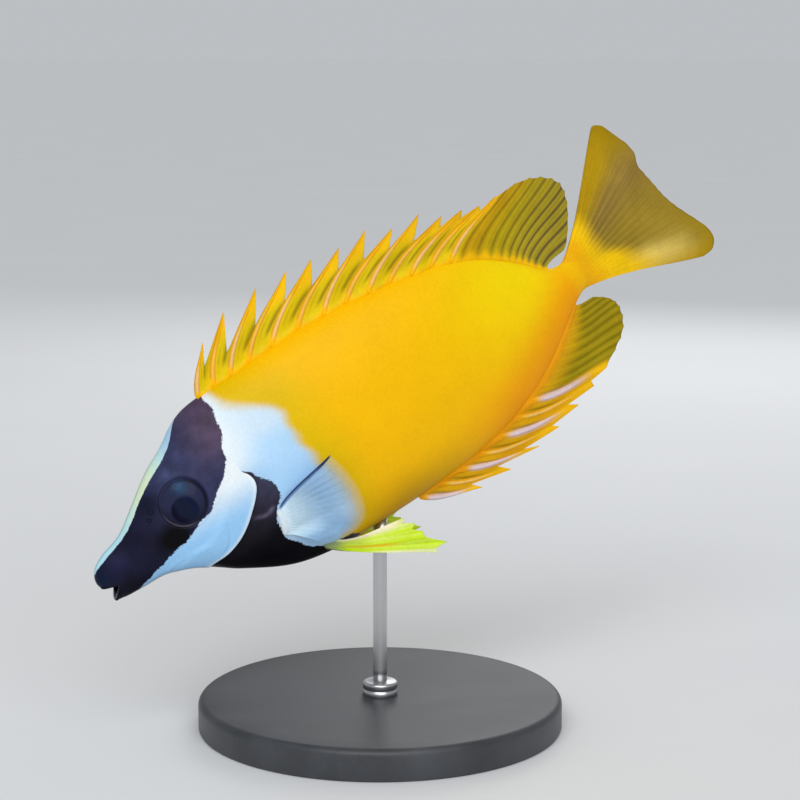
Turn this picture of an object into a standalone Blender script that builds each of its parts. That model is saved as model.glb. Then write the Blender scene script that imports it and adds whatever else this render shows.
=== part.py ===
"""Foxface rabbitfish, a still life-size model held by a plain display stand.

The fish is drawn straight first, in millimetres: x runs from the snout to the tail, y to the
fish's right and z to its back. The straight fish is then bent along its spine, tipped head down
and set over the rod of the stand. The origin is the centre of the underside of the base, with
+Z up and the head towards -X. Meshes are turned into metres as they are made.
"""
import bmesh
import bpy
import numpy as np

MM = 0.001
GAP = 0.3                 # clearance kept between pieces that meet

# Outline of the straight fish: (x, z) knots of back and belly, (x, y) knots of the half width
SNOUT_X = -0.6
BACK = [(-0.6, -1.5), (0.6, 3.3), (4.2, 5.9), (11.9, 8.7), (18.5, 12.8), (26, 18.4), (34, 22.9),
        (41, 26.5), (50, 28.6), (62, 29.1), (80, 29.8), (100, 28.3), (120, 24.4), (132, 20.8),
        (144, 14.4), (153, 7.3), (159, 0.6), (163, -1.8), (167, -2.2)]
BELLY = [(-0.6, -1.5), (0.1, -4.6), (1.1, -7.3), (3.2, -8.2), (9, -8.8), (18.8, -9.9),
         (24.2, -12.2), (35, -19.6), (50, -27.4), (60, -29.6), (75, -30.4), (95, -30.4),
         (119, -28.8), (133, -26.0), (143, -22.6), (152, -18.0), (158, -15.2), (167, -13.7)]
HALF_WIDTH = [(-0.6, 0), (0.6, 2.6), (3, 3.6), (8, 4.6), (14, 5.7), (21, 7.5), (28, 9.1),
              (36, 10.4), (45, 11.4), (60, 12.2), (75, 12.2), (90, 11.4), (105, 9.9),
              (120, 7.9), (135, 5.5), (147, 3.9), (156, 3.0), (167, 2.3)]
FULLNESS = [(-0.6, 0.8), (12, 0.95), (30, 1.0), (60, 1.1), (130, 1.1), (167, 1.0)]

# Gill-cover edge, the rear end of the head: (height in the section from -1 to 1, x)
GILL_EDGE = [(-1, 24), (-0.73, 28.8), (-0.56, 34.4), (-0.39, 39.5), (-0.2, 44.3), (-0.03, 47.9),
             (0.1, 49.2), (0.25, 49.2), (0.6, 49.0), (1, 48.6)]
GILL_SLIT_TOP = 0.25      # height in the section where the slit of the gill cover starts
GILL_STEP = 0.8           # how far the trunk lies in behind the gill cover's rim
GILL_STEP_LENGTH = 7.0
GILL_RAISE = 0.5          # how far the gill cover stands up from the cheek
GILL_PLATE = (11.0, 7.5)  # start and full height of the gill cover, ahead of its rim
TAIL_X = 140.0            # trunk and tail stalk part here
ROOT_X = 166.0            # end of the tail stalk, where the tail fin is rooted

# Spine: bend to the fish's right, then a slight lift of the tail, as (angle, from x, to x)
SIDE_BEND = (20.0, 75.0, 160.0)
TAIL_LIFT = (9.0, 140.0, 162.0)

# Pose over the stand
HEAD_DOWN = np.radians(29.9)
HELD_X, HELD_Z = 75.3, -30.4    # point of the keel above the rod
ROD_TOP = 59.5
ROD_RADIUS = 2.0
COLLAR_RADIUS, COLLAR_HEIGHT = 5.0, 4.0
BASE_RADIUS, BASE_HEIGHT, BASE_EDGE = 52.0, 9.0, 2.0

# Eyes: flattened balls whose axis stands square on the head
EYE_X, EYE_Z = 29.9, 8.2
EYE_RADIUS, EYE_DEPTH, EYE_SUNK = 7.9, 4.2, 3.0
EYE_RINGS, EYE_SIDES = 10, 20

# Nostrils: pits ahead of the eye, as (x, z, radius)
NOSTRILS = [(19.8, 8.4, 0.5), (21.2, 10.2, 0.65)]
PIT_RINGS, PIT_SIDES = 5, 8
THROAT_RINGS, THROAT_SIDES = 6, 12

# Mouth: its corner and the heights of the two lips at the front of the snout
MOUTH_CORNER = (3.5, -3.9)
UPPER_LIP_Z, LOWER_LIP_Z = -3.1, -7.3
LIP_RADIUS, LIP_END_RADIUS = 0.8, 0.35
LIP_INSET, LIP_REACH = 0.35, 0.94   # depth of a lip's middle in the jaw and its share of the width
LIP_STEPS, LIP_SIDES = 14, 8
THROAT = (2.5, -5.5, 2.2, 1.7)      # x, z, half depth and radius of the hollow of the mouth

# Median fins: knots (number of spine or ray, x) of the feet and (number, x, z) of the tips and
# of the notches of the web between spines
DORSAL_SPINES, DORSAL_RAYS = 13, 10
DORSAL_FEET = [(0, 49.2), (3, 66.2), (6, 90.7), (9, 111.8), (12, 131.5), (13, 137.0), (22, 159.4)]
DORSAL_TIPS = [(0, 57.8, 40.8), (1, 67.1, 44.9), (2, 78.0, 45.8), (3, 87.8, 45.3),
               (4, 95.3, 44.4), (5, 103.8, 42.9), (6, 112.8, 43.0), (7, 120.2, 39.1),
               (8, 129.3, 38.2), (9, 135.4, 33.8), (10, 142.2, 31.7), (11, 148.3, 29.4),
               (12, 155.0, 28.6), (13, 163.6, 28.0), (15, 173.5, 24.2), (17, 179.6, 17.3),
               (19, 178.4, 9.7), (22, 170.8, 0.9)]
DORSAL_NOTCHES = [(0.5, 55.5, 35.5), (1.5, 62.1, 35.1), (2.5, 72.8, 36.7), (4.5, 92.4, 38.1),
                  (6.5, 108.6, 36.6), (8.5, 124.3, 32.9), (9.5, 133.4, 31.7), (11.5, 148.2, 28.0)]
ANAL_SPINES, ANAL_RAYS = 7, 9
ANAL_FEET = [(0, 88.7), (3, 110.0), (6, 132.0), (7, 137.0), (15, 160.3)]
ANAL_TIPS = [(0, 106.0, -39.0), (1, 116.2, -39.6), (2, 127.3, -39.0), (3, 136.1, -38.2),
             (4, 145.3, -36.7), (5, 153.6, -35.5), (6, 160.9, -33.8), (7, 167.0, -31.6),
             (9, 173.6, -28.4), (11, 175.3, -24.8), (13, 172.5, -21.3), (15, 167.6, -17.6)]
ANAL_NOTCHES = [(0.5, 103.8, -36.4), (2.5, 125.3, -37.3), (4.5, 142.6, -35.4), (5.5, 154.0, -33.9)]
CAUDAL_RAYS = 17
CAUDAL_TIPS = [(0, 203.8, 19.2), (1, 207.6, 15.6), (3, 209.6, 7.6), (5, 208.4, 0.4), (8, 209.9, -8.6),
               (11, 211.0, -17.6), (13, 213.2, -25.0), (14, 215.4, -30.4), (15, 216.0, -35.2),
               (16, 212.2, -38.2)]
CAUDAL_ROOT_SHARE = 0.4   # share of the tail fin over which the root thins to the web

# Paired fins: (x, z) of the two ends of the root and (number, x, z) knots of the tips
PECTORAL_RAYS = 14
PECTORAL_ROOT = [(51.6, -7.6), (48.9, -14.6)]
PECTORAL_TIPS = [(0, 69.2, -1.2), (3, 71.8, -7.6), (6, 72.0, -15.5), (9, 69.4, -21.6),
                 (11, 64.5, -23.4), (13, 57.0, -22.4)]
PECTORAL_FLARE = 5.5      # how far the tips stand off the flank
PECTORAL_PAD = 2.5        # length of the root that lies flat on the flank
PECTORAL_LOW_Z = -15.0    # below this height the fin stands straight down and leaves the belly
PELVIC_ROOT = [(57.0, 5.4), (62.0, 4.6)]      # x and distance from the midline
PELVIC_TIPS = [(83.2, 11.5, -43.6), (87.0, 11.0, -42.6), (82.8, 9.8, -36.4),
               (82.3, 8.4, -33.6), (80.7, 6.4, -31.2)]
PELVIC_FACE = (0.0, 1.0, 0.25)                # direction that the sides of the fin face

# Half thickness of the fins' web, root, spines and rays, and the bow of spines and rays
WEB_HALF = 0.25
ROOT_HALF = 0.55
ROOT_SHARE = 0.12         # share of the height over which the root thins to the web
SPINE_HALF, SPINE_TIP_HALF = 0.7, 0.14
RAY_HALF, RAY_TIP_HALF = 0.6, 0.42
FIN_BOW = 0.03            # bow of a spine or ray as a share of its length
FIN_RISE = 2.5            # least height of a fin's last row over the outline of the body
RAY_NOTCH = 0.02          # share by which the web stops short between the tips of soft rays

TURN_STEPS = 20           # faces from back to belly on each side
SHARP_ANGLE = np.radians(35)
RIDGE_ANGLE = np.radians(6)       # the low ridges of the fins' rays stay sharp
MERGE_DISTANCE = 0.005 * MM
FIN_ROWS = np.array([0, 0.07, 0.27, 0.5, 0.75, 1.0])


def clear_scene():
    """Start from an empty scene."""
    for old in list(bpy.data.objects):
        bpy.data.objects.remove(old, do_unlink=True)


def smooth_line(place, value, at):
    """Value at each place of the smooth line through the knots, by cubic pieces."""
    place, value = np.asarray(place, float), np.asarray(value, float)
    step = np.diff(place)
    rise = np.diff(value) / step
    slope = np.concatenate([rise[:1], rise[:1], rise[-1:]]) if len(step) == 1 else np.concatenate([
        rise[:1], (rise[:-1] * step[1:] + rise[1:] * step[:-1]) / (step[:-1] + step[1:]), rise[-1:]])
    piece = np.clip(np.searchsorted(place, at, side="right") - 1, 0, len(step) - 1)
    t = np.clip((at - place[piece]) / step[piece], 0, 1)
    lift = t * t * (3 - 2 * t)
    start = slope[piece] * step[piece] * t * (1 - t) ** 2
    end = slope[piece + 1] * step[piece] * t * t * (1 - t)
    return value[piece] * (1 - lift) + value[piece + 1] * lift + start - end


def line(knots, at):
    """Smooth line through a list of (place, value) knots."""
    place, value = zip(*knots)
    return smooth_line(place, value, np.asarray(at, float))


def outline(knots, x):
    """Smooth line through (x, value) knots that is round at the snout."""
    place, value = zip(*knots)
    return smooth_line(np.sqrt(np.array(place) - SNOUT_X), value,
                       np.sqrt(np.maximum(np.asarray(x, float) - SNOUT_X, 0)))


def ramp(at, start, end):
    """Smooth step from 0 at start to 1 at end."""
    t = np.clip((at - start) / (end - start), 0, 1)
    return t * t * (3 - 2 * t)


def flank(x, z):
    """Half width of the straight fish at the side point (x, z)."""
    top, low = outline(BACK, x), outline(BELLY, x)
    height = np.clip((2 * z - top - low) / (top - low), -1, 1)
    return outline(HALF_WIDTH, x) * np.sqrt(1 - height ** 2) ** line(FULLNESS, x)


def keel(x, y):
    """Height of the underside of the straight fish at x, a distance y from the midline."""
    top, low = outline(BACK, x), outline(BELLY, x)
    sine = np.clip(np.abs(y) / outline(HALF_WIDTH, x), 0, 1) ** (1 / line(FULLNESS, x))
    return (top + low) / 2 - (top - low) / 2 * np.sqrt(1 - sine ** 2)


def spine_table():
    """Places along the spine and the centre of the bent spine at each, summed step by step."""
    place = np.linspace(-10, 170, 1801)
    side, lift = spine_angles(place)
    ahead = np.stack([np.cos(lift) * np.cos(side), np.cos(lift) * np.sin(side), np.sin(lift)], -1)
    path = np.cumsum(ahead, axis=0) * (place[1] - place[0])
    return place, path - path[np.argmin(np.abs(place))]


def spine_angles(x):
    """Side bend and lift of the spine at x, in radians."""
    side = np.radians(SIDE_BEND[0]) * ramp(x, *SIDE_BEND[1:])
    lift = np.radians(TAIL_LIFT[0]) * ramp(x, *TAIL_LIFT[1:])
    return side, lift


SPINE_PLACE, SPINE_PATH = spine_table()


def bend(points, foot=None):
    """Carry straight points onto the bent spine. Points of a fin hang rigidly from their foot's x."""
    points = np.asarray(points, float)
    at = points[..., 0] if foot is None else np.broadcast_to(foot, points.shape[:-1])
    centre = np.stack([np.interp(at, SPINE_PLACE, SPINE_PATH[:, k]) for k in range(3)], -1)
    side, lift = spine_angles(at)
    flat = np.zeros_like(side)
    ahead = np.stack([np.cos(lift) * np.cos(side), np.cos(lift) * np.sin(side), np.sin(lift)], -1)
    right = np.stack([-np.sin(side), np.cos(side), flat], -1)
    up = np.stack([-np.sin(lift) * np.cos(side), -np.sin(lift) * np.sin(side), np.cos(lift)], -1)
    along = (points[..., 0] - at)[..., None]
    return centre + along * ahead + points[..., 1:2] * right + points[..., 2:3] * up


def pose(points):
    """Tip bent points head down about the held point of the keel and set that over the rod."""
    x, y, z = points[..., 0] - HELD_X, points[..., 1], points[..., 2] - HELD_Z
    cosine, sine = np.cos(HEAD_DOWN), np.sin(HEAD_DOWN)
    return np.stack([x * cosine - z * sine, y, x * sine + z * cosine + ROD_TOP], -1)


def material(name, colour, roughness, metallic=0.0):
    """Plain Principled material."""
    made = bpy.data.materials.new(name)
    made.use_nodes = True
    shader = made.node_tree.nodes["Principled BSDF"]
    shader.inputs["Base Color"].default_value = (*colour, 1)
    shader.inputs["Roughness"].default_value = roughness
    shader.inputs["Metallic"].default_value = metallic
    return made


def add_object(name, points, faces, look, sharp=SHARP_ANGLE):
    """Make a closed mesh object from millimetre points, faces turned outwards."""
    mesh = bpy.data.meshes.new(name)
    mesh.from_pydata((np.asarray(points).reshape(-1, 3) * MM).tolist(), [], faces)
    shape = bmesh.new()
    shape.from_mesh(mesh)
    bmesh.ops.recalc_face_normals(shape, faces=shape.faces)
    shape.to_mesh(mesh)
    shape.free()
    mesh.shade_smooth()
    mesh.set_sharp_from_angle(angle=sharp)
    made = bpy.data.objects.new(name, mesh)
    made.data.materials.append(look)
    bpy.context.collection.objects.link(made)
    return made


def quads(rows, columns, closed=False):
    """Triangles of a grid of rows by columns points, closed round its columns if asked."""
    faces = []
    for r in range(rows - 1):
        for c in range(columns if closed else columns - 1):
            near, far = r * columns + c, r * columns + (c + 1) % columns
            faces.append((near, far, far + columns))
            faces.append((near, far + columns, near + columns))
    return faces


def cap(start, count):
    """Triangles across a ring whose points k and count - k lie at one height."""
    faces = []
    for k in range(count // 2):
        here, across = start + k, start + (count - k) % count
        below, across_below = start + k + 1, start + count - k - 1
        if here != across:
            faces.append((here, below, across))
        if below != across_below:
            faces.append((across, below, across_below))
    return faces


def section_turns():
    """Turn from back (0) to belly (pi) and the side, 1 right and -1 left, of each ring point."""
    angle = np.arange(2 * TURN_STEPS) * np.pi / TURN_STEPS
    return np.where(angle <= np.pi, angle, 2 * np.pi - angle), np.where(angle <= np.pi, 1, -1)


def flesh_rings(place, inset=0.0):
    """Points of the straight fish at x places, one row a ring and one column a turn."""
    turn, side = section_turns()
    top, low = outline(BACK, place), outline(BELLY, place)
    width = outline(HALF_WIDTH, place) * np.abs(np.sin(turn)) ** line(FULLNESS, place)
    height = (top + low) / 2 + (top - low) / 2 * np.cos(turn)
    return np.stack([place, side * np.maximum(width - inset, 0), height], -1)


def gill_edge(turn):
    """x of the rear end of the head at each turn."""
    return line(GILL_EDGE, np.cos(turn))


def slit_share(turn):
    """How far the gill cover is free of the trunk at each turn, from 0 to 1."""
    return ramp(-np.cos(turn), -GILL_SLIT_TOP, 0.0) * np.sin(turn) ** 0.5


def head_solid(look):
    """Head from the snout to the gill-cover edge; its rings lean over to follow that edge."""
    turn, _ = section_turns()
    share = np.linspace(0, 1, 21)[1:, None] ** 1.7
    place = SNOUT_X + (gill_edge(turn) - SNOUT_X) * share
    plate = ramp(gill_edge(turn) - place, *GILL_PLATE) * slit_share(turn)
    rings = flesh_rings(place, inset=-GILL_RAISE * plate)
    count = len(turn)
    tip = np.array([[SNOUT_X, 0, BACK[0][1]]])
    points = np.concatenate([tip, rings.reshape(-1, 3)])
    faces = [(0, 1 + k, 1 + (k + 1) % count) for k in range(count)]
    faces += [tuple(i + 1 for i in f) for f in quads(len(rings), count, closed=True)]
    faces += cap(1 + (len(rings) - 1) * count, count)
    return add_object("head", pose(bend(points)), faces, look)


def gill_gap(turn):
    """Clearance along x that keeps GAP square to the slanting edge between head and trunk."""
    step = 0.02
    height = np.cos(turn)
    slope = (line(GILL_EDGE, height + step) - line(GILL_EDGE, height - step)) / (2 * step)
    half_depth = 24.0
    return GAP * np.sqrt(1 + (slope / half_depth) ** 2)


def trunk_solid(look):
    """Trunk from behind the gill covers to the tail stalk."""
    turn, _ = section_turns()
    front = gill_edge(turn) + gill_gap(turn)
    share = np.linspace(0, 1, 23)[:, None]
    place = front + (TAIL_X - front) * share
    behind = 1 - ramp(place - front, 0, GILL_STEP_LENGTH)
    rings = flesh_rings(place, inset=GILL_STEP * behind * slit_share(turn))
    return ring_solid("body", rings, look)


def stalk_solid(look):
    """Tail stalk from the trunk to the root of the tail fin."""
    turn, _ = section_turns()
    place = np.linspace(TAIL_X + GAP, ROOT_X, 8)[:, None] + 0 * turn
    return ring_solid("tail", flesh_rings(place), look)


def ring_solid(name, rings, look):
    """Closed solid of a stack of rings with both ends capped."""
    count = rings.shape[1]
    faces = quads(len(rings), count, closed=True)
    faces += cap(0, count) + cap((len(rings) - 1) * count, count)
    return add_object(name, pose(bend(rings.reshape(-1, 3))), faces, look)


def sheet_faces(points):
    """Triangles of a grid of points, each cell split along its shorter diagonal."""
    number = np.arange(points.shape[0] * points.shape[1]).reshape(points.shape[:2])
    corners = [(slice(None, -1), slice(None, -1)), (slice(None, -1), slice(1, None)),
               (slice(1, None), slice(1, None)), (slice(1, None), slice(None, -1))]
    a, b, c, d = [number[at].ravel() for at in corners]
    flat = points.reshape(-1, 3)
    swapped = np.linalg.norm(flat[a] - flat[c], axis=1) > np.linalg.norm(flat[b] - flat[d], axis=1)
    first = np.where(swapped, [a, b, d], [a, b, c]).T
    second = np.where(swapped, [b, c, d], [a, c, d]).T
    return np.concatenate([first, second]).tolist()


def sheet_solid(name, one_face, other_face, look):
    """Closed solid between two alike grids of points, columns by rows."""
    columns, rows = one_face.shape[:2]
    count = columns * rows
    grid = sheet_faces(one_face)
    faces = grid + [(a + count, c + count, b + count) for a, b, c in grid]
    border = [c * rows for c in range(columns)] + [(columns - 1) * rows + r for r in range(1, rows)]
    border += [c * rows + rows - 1 for c in range(columns - 2, -1, -1)]
    border += list(range(rows - 2, 0, -1))
    for here, after in zip(border, border[1:] + border[:1]):
        faces.append((here, here + count, after + count))
        faces.append((here, after + count, after))
    points = np.concatenate([one_face.reshape(-1, 3), other_face.reshape(-1, 3)])
    return add_object(name, points, faces, look, RIDGE_ANGLE)


def rib_widths(spiny):
    """Half width of a spine or ray at each row."""
    start, end = (SPINE_HALF, SPINE_TIP_HALF) if spiny else (RAY_HALF, RAY_TIP_HALF)
    return start + (end - start) * FIN_ROWS


def bowed(foot, end, forward):
    """Points at each row of a line that bows forward near its foot, and its unit normal."""
    along = end - foot
    ahead = forward * np.array([-along[1], along[0]])
    rows = FIN_ROWS[:, None]
    bow = FIN_BOW * 27 / 4 * rows * (1 - rows) ** 2
    return foot + rows * along + bow * ahead, ahead / np.hypot(*along)


def fin_columns(feet, tips, spiny, notches, forward):
    """Columns of (x, z) points of a fin, their half thickness, and the rib number of each.

    A rib is a spine or a ray. A spine has three columns, front flank, crest and rear flank, and
    a ray only its crest. Between two ribs a column of web ends at a notch of the edge.
    """
    places, halves, numbers = [], [], []
    web = WEB_HALF + (ROOT_HALF - WEB_HALF) * (1 - ramp(FIN_ROWS, 0, ROOT_SHARE))
    for number, (foot, tip) in enumerate(zip(feet, tips)):
        if number > 0:
            middle = (foot + feet[number - 1]) / 2
            web_bow = 0 if spiny[number - 1] else forward
            places.append(bowed(middle, notches[number - 1], web_bow)[0])
            halves.append(web)
            numbers.append(number - 0.5)
        crest, ahead = bowed(foot, tip, forward)
        width = rib_widths(spiny[number])
        flank_half = np.minimum(web, 0.8 * width)
        for shift in ((1, 0, -1) if spiny[number] else (0,)):
            places.append(crest + (shift * width)[:, None] * ahead)
            halves.append(flank_half if shift else width)
            numbers.append(number)
    return np.array(places), np.array(halves), np.array(numbers, float)


def soft_notches(feet, tips):
    """Ends of the web between ribs, a little short of the line from tip to tip."""
    middle = (tips[1:] + tips[:-1]) / 2
    root = (feet[1:] + feet[:-1]) / 2
    return middle + (root - middle) * RAY_NOTCH


def median_fin(name, columns, half, look):
    """Fin on the midline from (x, z) columns and its half thickness at each point."""
    straight = np.stack([columns[..., 0], half, columns[..., 1]], -1)
    foot = columns[:, :1, 0]
    mirrored = straight * np.array([1, -1, 1])
    return sheet_solid(name, pose(bend(straight, foot)), pose(bend(mirrored, foot)), look)


def rib_points(knots, number):
    """(x, z) points at rib numbers, on smooth lines through (number, x, z) knots."""
    place, x, z = zip(*knots)
    return np.stack([smooth_line(place, x, number), smooth_line(place, z, number)], -1)


def back_fin(name, ribs, spines, feet, tips, notches, edge, clear, look):
    """Dorsal or anal fin: feet along an edge of the body, spines first and then soft rays."""
    number = np.arange(ribs, dtype=float)
    x = line(feet, number)
    foot = np.stack([x, outline(edge, x)], -1)
    tip = rib_points(tips, number)
    ends = soft_notches(foot, tip)
    ends[:spines - 1] = rib_points(notches, number[:spines - 1] + 0.5)
    columns, half, _ = fin_columns(foot, tip, number < spines, ends, np.sign(clear))
    least = abs(clear) + FIN_RISE * FIN_ROWS
    height = (columns[..., 1] - outline(edge, columns[..., 0])) * np.sign(clear)
    height = np.where(FIN_ROWS > 0, np.maximum(height, least), least)
    columns[..., 1] = outline(edge, columns[..., 0]) + height * np.sign(clear)
    return median_fin(name, columns, half, look)


def dorsal_fin(look):
    """Dorsal fin along the back: thirteen spines, then ten soft rays."""
    return back_fin("dorsal_fin", DORSAL_SPINES + DORSAL_RAYS, DORSAL_SPINES, DORSAL_FEET,
                    DORSAL_TIPS, DORSAL_NOTCHES, BACK, GAP, look)


def anal_fin(look):
    """Anal fin under the rear of the trunk: seven spines, then nine soft rays."""
    return back_fin("anal_fin", ANAL_SPINES + ANAL_RAYS, ANAL_SPINES, ANAL_FEET,
                    ANAL_TIPS, ANAL_NOTCHES, BELLY, -GAP, look)


def caudal_fin(look):
    """Tail fin, as thick at its root as the end of the tail stalk."""
    number = np.arange(CAUDAL_RAYS, dtype=float)
    top, low = outline(BACK, ROOT_X), outline(BELLY, ROOT_X)
    middle, deep = (top + low) / 2, (top - low) / 2
    foot_z = middle + deep * np.cos(np.linspace(0.1, 0.9, CAUDAL_RAYS) * np.pi)
    feet = np.stack([np.full(CAUDAL_RAYS, ROOT_X + GAP), foot_z], -1)
    tips = rib_points(CAUDAL_TIPS, number)
    columns, half, _ = fin_columns(feet, tips, number < 0, soft_notches(feet, tips), 0)
    height = np.clip((columns[:, :1, 1] - middle) / deep, -1, 1)
    root_half = outline(HALF_WIDTH, ROOT_X) * np.sqrt(1 - height ** 2)
    half = half + np.maximum(root_half - half, 0) * (1 - ramp(FIN_ROWS, 0, CAUDAL_ROOT_SHARE))
    return median_fin("caudal_fin", columns, half, look)


def pectoral_fin(name, side, look):
    """Pectoral fin whose root lies flat on the flank and whose tips stand off it."""
    number = np.arange(PECTORAL_RAYS, dtype=float)
    root = np.array(PECTORAL_ROOT, float)
    feet = root[0] + (root[1] - root[0]) * number[:, None] / (PECTORAL_RAYS - 1)
    tips = rib_points(PECTORAL_TIPS, number)
    columns, half, _ = fin_columns(feet, tips, number < 0, soft_notches(feet, tips), 0)
    x, z = columns[..., 0], columns[..., 1]
    reach = np.hypot(x - x[:, :1], z - z[:, :1])
    stand_off = PECTORAL_FLARE * (np.maximum(reach - PECTORAL_PAD, 0) / 20) ** 1.2
    middle = flank(x, np.maximum(z, PECTORAL_LOW_Z)) + GAP + ROOT_HALF + stand_off
    near = np.stack([x, side * (middle - half), z], -1)
    far = np.stack([x, side * (middle + half), z], -1)
    return sheet_solid(name, pose(bend(near)), pose(bend(far)), look)


def pelvic_fin(name, side, look):
    """Pelvic fin hung from the belly beside the keel: three rays between two spines."""
    tips = np.array(PELVIC_TIPS)
    number = np.arange(len(tips))
    root = np.array(PELVIC_ROOT)
    flat = root[0] + (root[1] - root[0]) * number[:, None] / number[-1]
    feet = np.stack([flat[:, 0], keel(flat[:, 0], flat[:, 1]) - GAP - 0.1], -1)
    ends = tips[:, [0, 2]]
    columns, half, rib = fin_columns(feet, ends, number < 0, soft_notches(feet, ends), -1)
    foot_y = np.interp(rib, number, flat[:, 1])[:, None]
    tip_y = np.interp(rib, number, tips[:, 1])[:, None]
    middle = np.stack([columns[..., 0], foot_y + (tip_y - foot_y) * FIN_ROWS, columns[..., 1]], -1)
    slope = keel(columns[:, 0, 0], foot_y[:, 0] + 0.5) - keel(columns[:, 0, 0], foot_y[:, 0] - 0.5)
    rooted = np.stack([0 * slope, np.ones_like(slope), slope], -1)[:, None]
    blend = ramp(FIN_ROWS, 0, 0.3)[None, :, None]
    offset = rooted * (1 - blend) + np.array(PELVIC_FACE) * blend
    offset = offset / np.linalg.norm(offset, axis=-1, keepdims=True) * half[..., None]
    turned = np.array([1, side, 1])
    return sheet_solid(name, pose(bend((middle - offset) * turned)),
                       pose(bend((middle + offset) * turned)), look)


def eye_frame(side):
    """Centre of an eyeball and its axes: out of the head, forward and up along the head."""
    step = 0.5
    here = np.array([EYE_X, flank(EYE_X, EYE_Z), EYE_Z])
    along = np.array([step, flank(EYE_X + step, EYE_Z) - here[1], 0])
    upward = np.array([0, flank(EYE_X, EYE_Z + step) - here[1], step])
    out = np.cross(upward, along)
    out /= np.linalg.norm(out)
    ahead = along / np.linalg.norm(along)
    rise = np.cross(ahead, out)
    centre = here - out * EYE_SUNK
    turned = np.array([1, side, 1])
    return centre * turned, out * turned, ahead * turned, rise * turned


def ball_points(centre, out, ahead, rise, depth, radius, rings, count):
    """Points and faces of a flattened ball with its short axis along out."""
    polar = np.linspace(0, np.pi, rings + 1)[1:-1, None]
    angle = np.arange(count) * 2 * np.pi / count
    body = (out * (depth * np.cos(polar) + 0 * angle)[..., None]
            + ahead * (radius * np.sin(polar) * np.cos(angle))[..., None]
            + rise * (radius * np.sin(polar) * np.sin(angle))[..., None])
    points = np.concatenate([[out * depth], body.reshape(-1, 3), [-out * depth]]) + centre
    faces = [(0, 1 + k, 1 + (k + 1) % count) for k in range(count)]
    faces += [tuple(i + 1 for i in f) for f in quads(rings - 1, count, closed=True)]
    last, start = len(points) - 1, len(points) - 1 - count
    faces += [(last, start + (k + 1) % count, start + k) for k in range(count)]
    return pose(bend(points)), faces


def eye_points(side, grow):
    """Points and faces of an eyeball, grown all round for its socket."""
    return ball_points(*eye_frame(side), EYE_DEPTH + grow, EYE_RADIUS + grow, EYE_RINGS, EYE_SIDES)


def nostril_points(side, x, z, radius):
    """Points and faces of a small ball set in the flank of the snout."""
    centre = np.array([x, side * flank(x, z), z])
    axes = np.array([[0, side, 0], [1, 0, 0], [0, 0, 1]], float)
    return ball_points(centre, *axes, radius, radius, PIT_RINGS, PIT_SIDES)


def lip_front(height):
    """(x, z) point of the outline at the front of the snout at a height."""
    x = np.linspace(SNOUT_X, MOUTH_CORNER[0], 200)
    return np.array([np.interp(-height, -outline(BELLY, x), x), height])


def lip_path(height, outward):
    """Middle of a lip, from the right corner round the front of the snout to the left one."""
    share = np.linspace(-1, 1, LIP_STEPS + 1)
    corner, front = np.array(MOUTH_CORNER), lip_front(height)
    along = (front - corner) / np.linalg.norm(front - corner)
    inward = outward * np.array([along[1], -along[0]]) * LIP_INSET
    flat = corner + (front - corner) * (1 - share[:, None] ** 2)
    across = np.sign(share) * flank(flat[:, 0], flat[:, 1]) * LIP_REACH
    flat = flat + inward
    return np.stack([flat[:, 0], across, flat[:, 1]], -1)


def tube(path, radius, sides):
    """Points and faces of a closed tube along a path that stays nearly level."""
    way = np.gradient(path, axis=0)
    way /= np.linalg.norm(way, axis=1, keepdims=True)
    across = np.cross(way, [0.0, 0.0, 1.0])
    across /= np.linalg.norm(across, axis=1, keepdims=True)
    rise = np.cross(across, way)
    angle = np.arange(sides) * 2 * np.pi / sides
    round_it = across[:, None] * np.cos(angle)[:, None] + rise[:, None] * np.sin(angle)[:, None]
    points = (path[:, None] + round_it * radius[:, None, None]).reshape(-1, 3)
    faces = quads(len(path), sides, closed=True)
    faces += [tuple(range(sides)), tuple(len(points) - sides + k for k in range(sides))]
    return points, faces


def lips(look):
    """Upper and lower lip, tubes that round off the edges of the mouth."""
    share = np.linspace(-1, 1, LIP_STEPS + 1)
    radius = LIP_RADIUS + (LIP_END_RADIUS - LIP_RADIUS) * share ** 2
    made = []
    for name, height, outward in (("upper_lip", UPPER_LIP_Z, 1), ("lower_lip", LOWER_LIP_Z, -1)):
        points, faces = tube(lip_path(height, outward), radius, LIP_SIDES)
        made.append(add_object(name, pose(bend(points)), faces, look))
    return made


def change_shape(target, pieces, operation):
    """Fuse closed pieces with the target, or cut them out of it, and take them off the scene."""
    group = bpy.data.collections.new(target.name + "_pieces")
    for piece in pieces:
        group.objects.link(piece)
    change = target.modifiers.new(operation.lower(), "BOOLEAN")
    change.operation = operation
    change.operand_type = "COLLECTION"
    change.collection = group
    state = bpy.context.evaluated_depsgraph_get()
    mesh = bpy.data.meshes.new_from_object(target.evaluated_get(state))
    target.modifiers.clear()
    target.data = mesh
    keep_largest(mesh)
    mesh.set_sharp_from_angle(angle=SHARP_ANGLE)
    for piece in pieces:
        bpy.data.objects.remove(piece, do_unlink=True)
    bpy.data.collections.remove(group)


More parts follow.
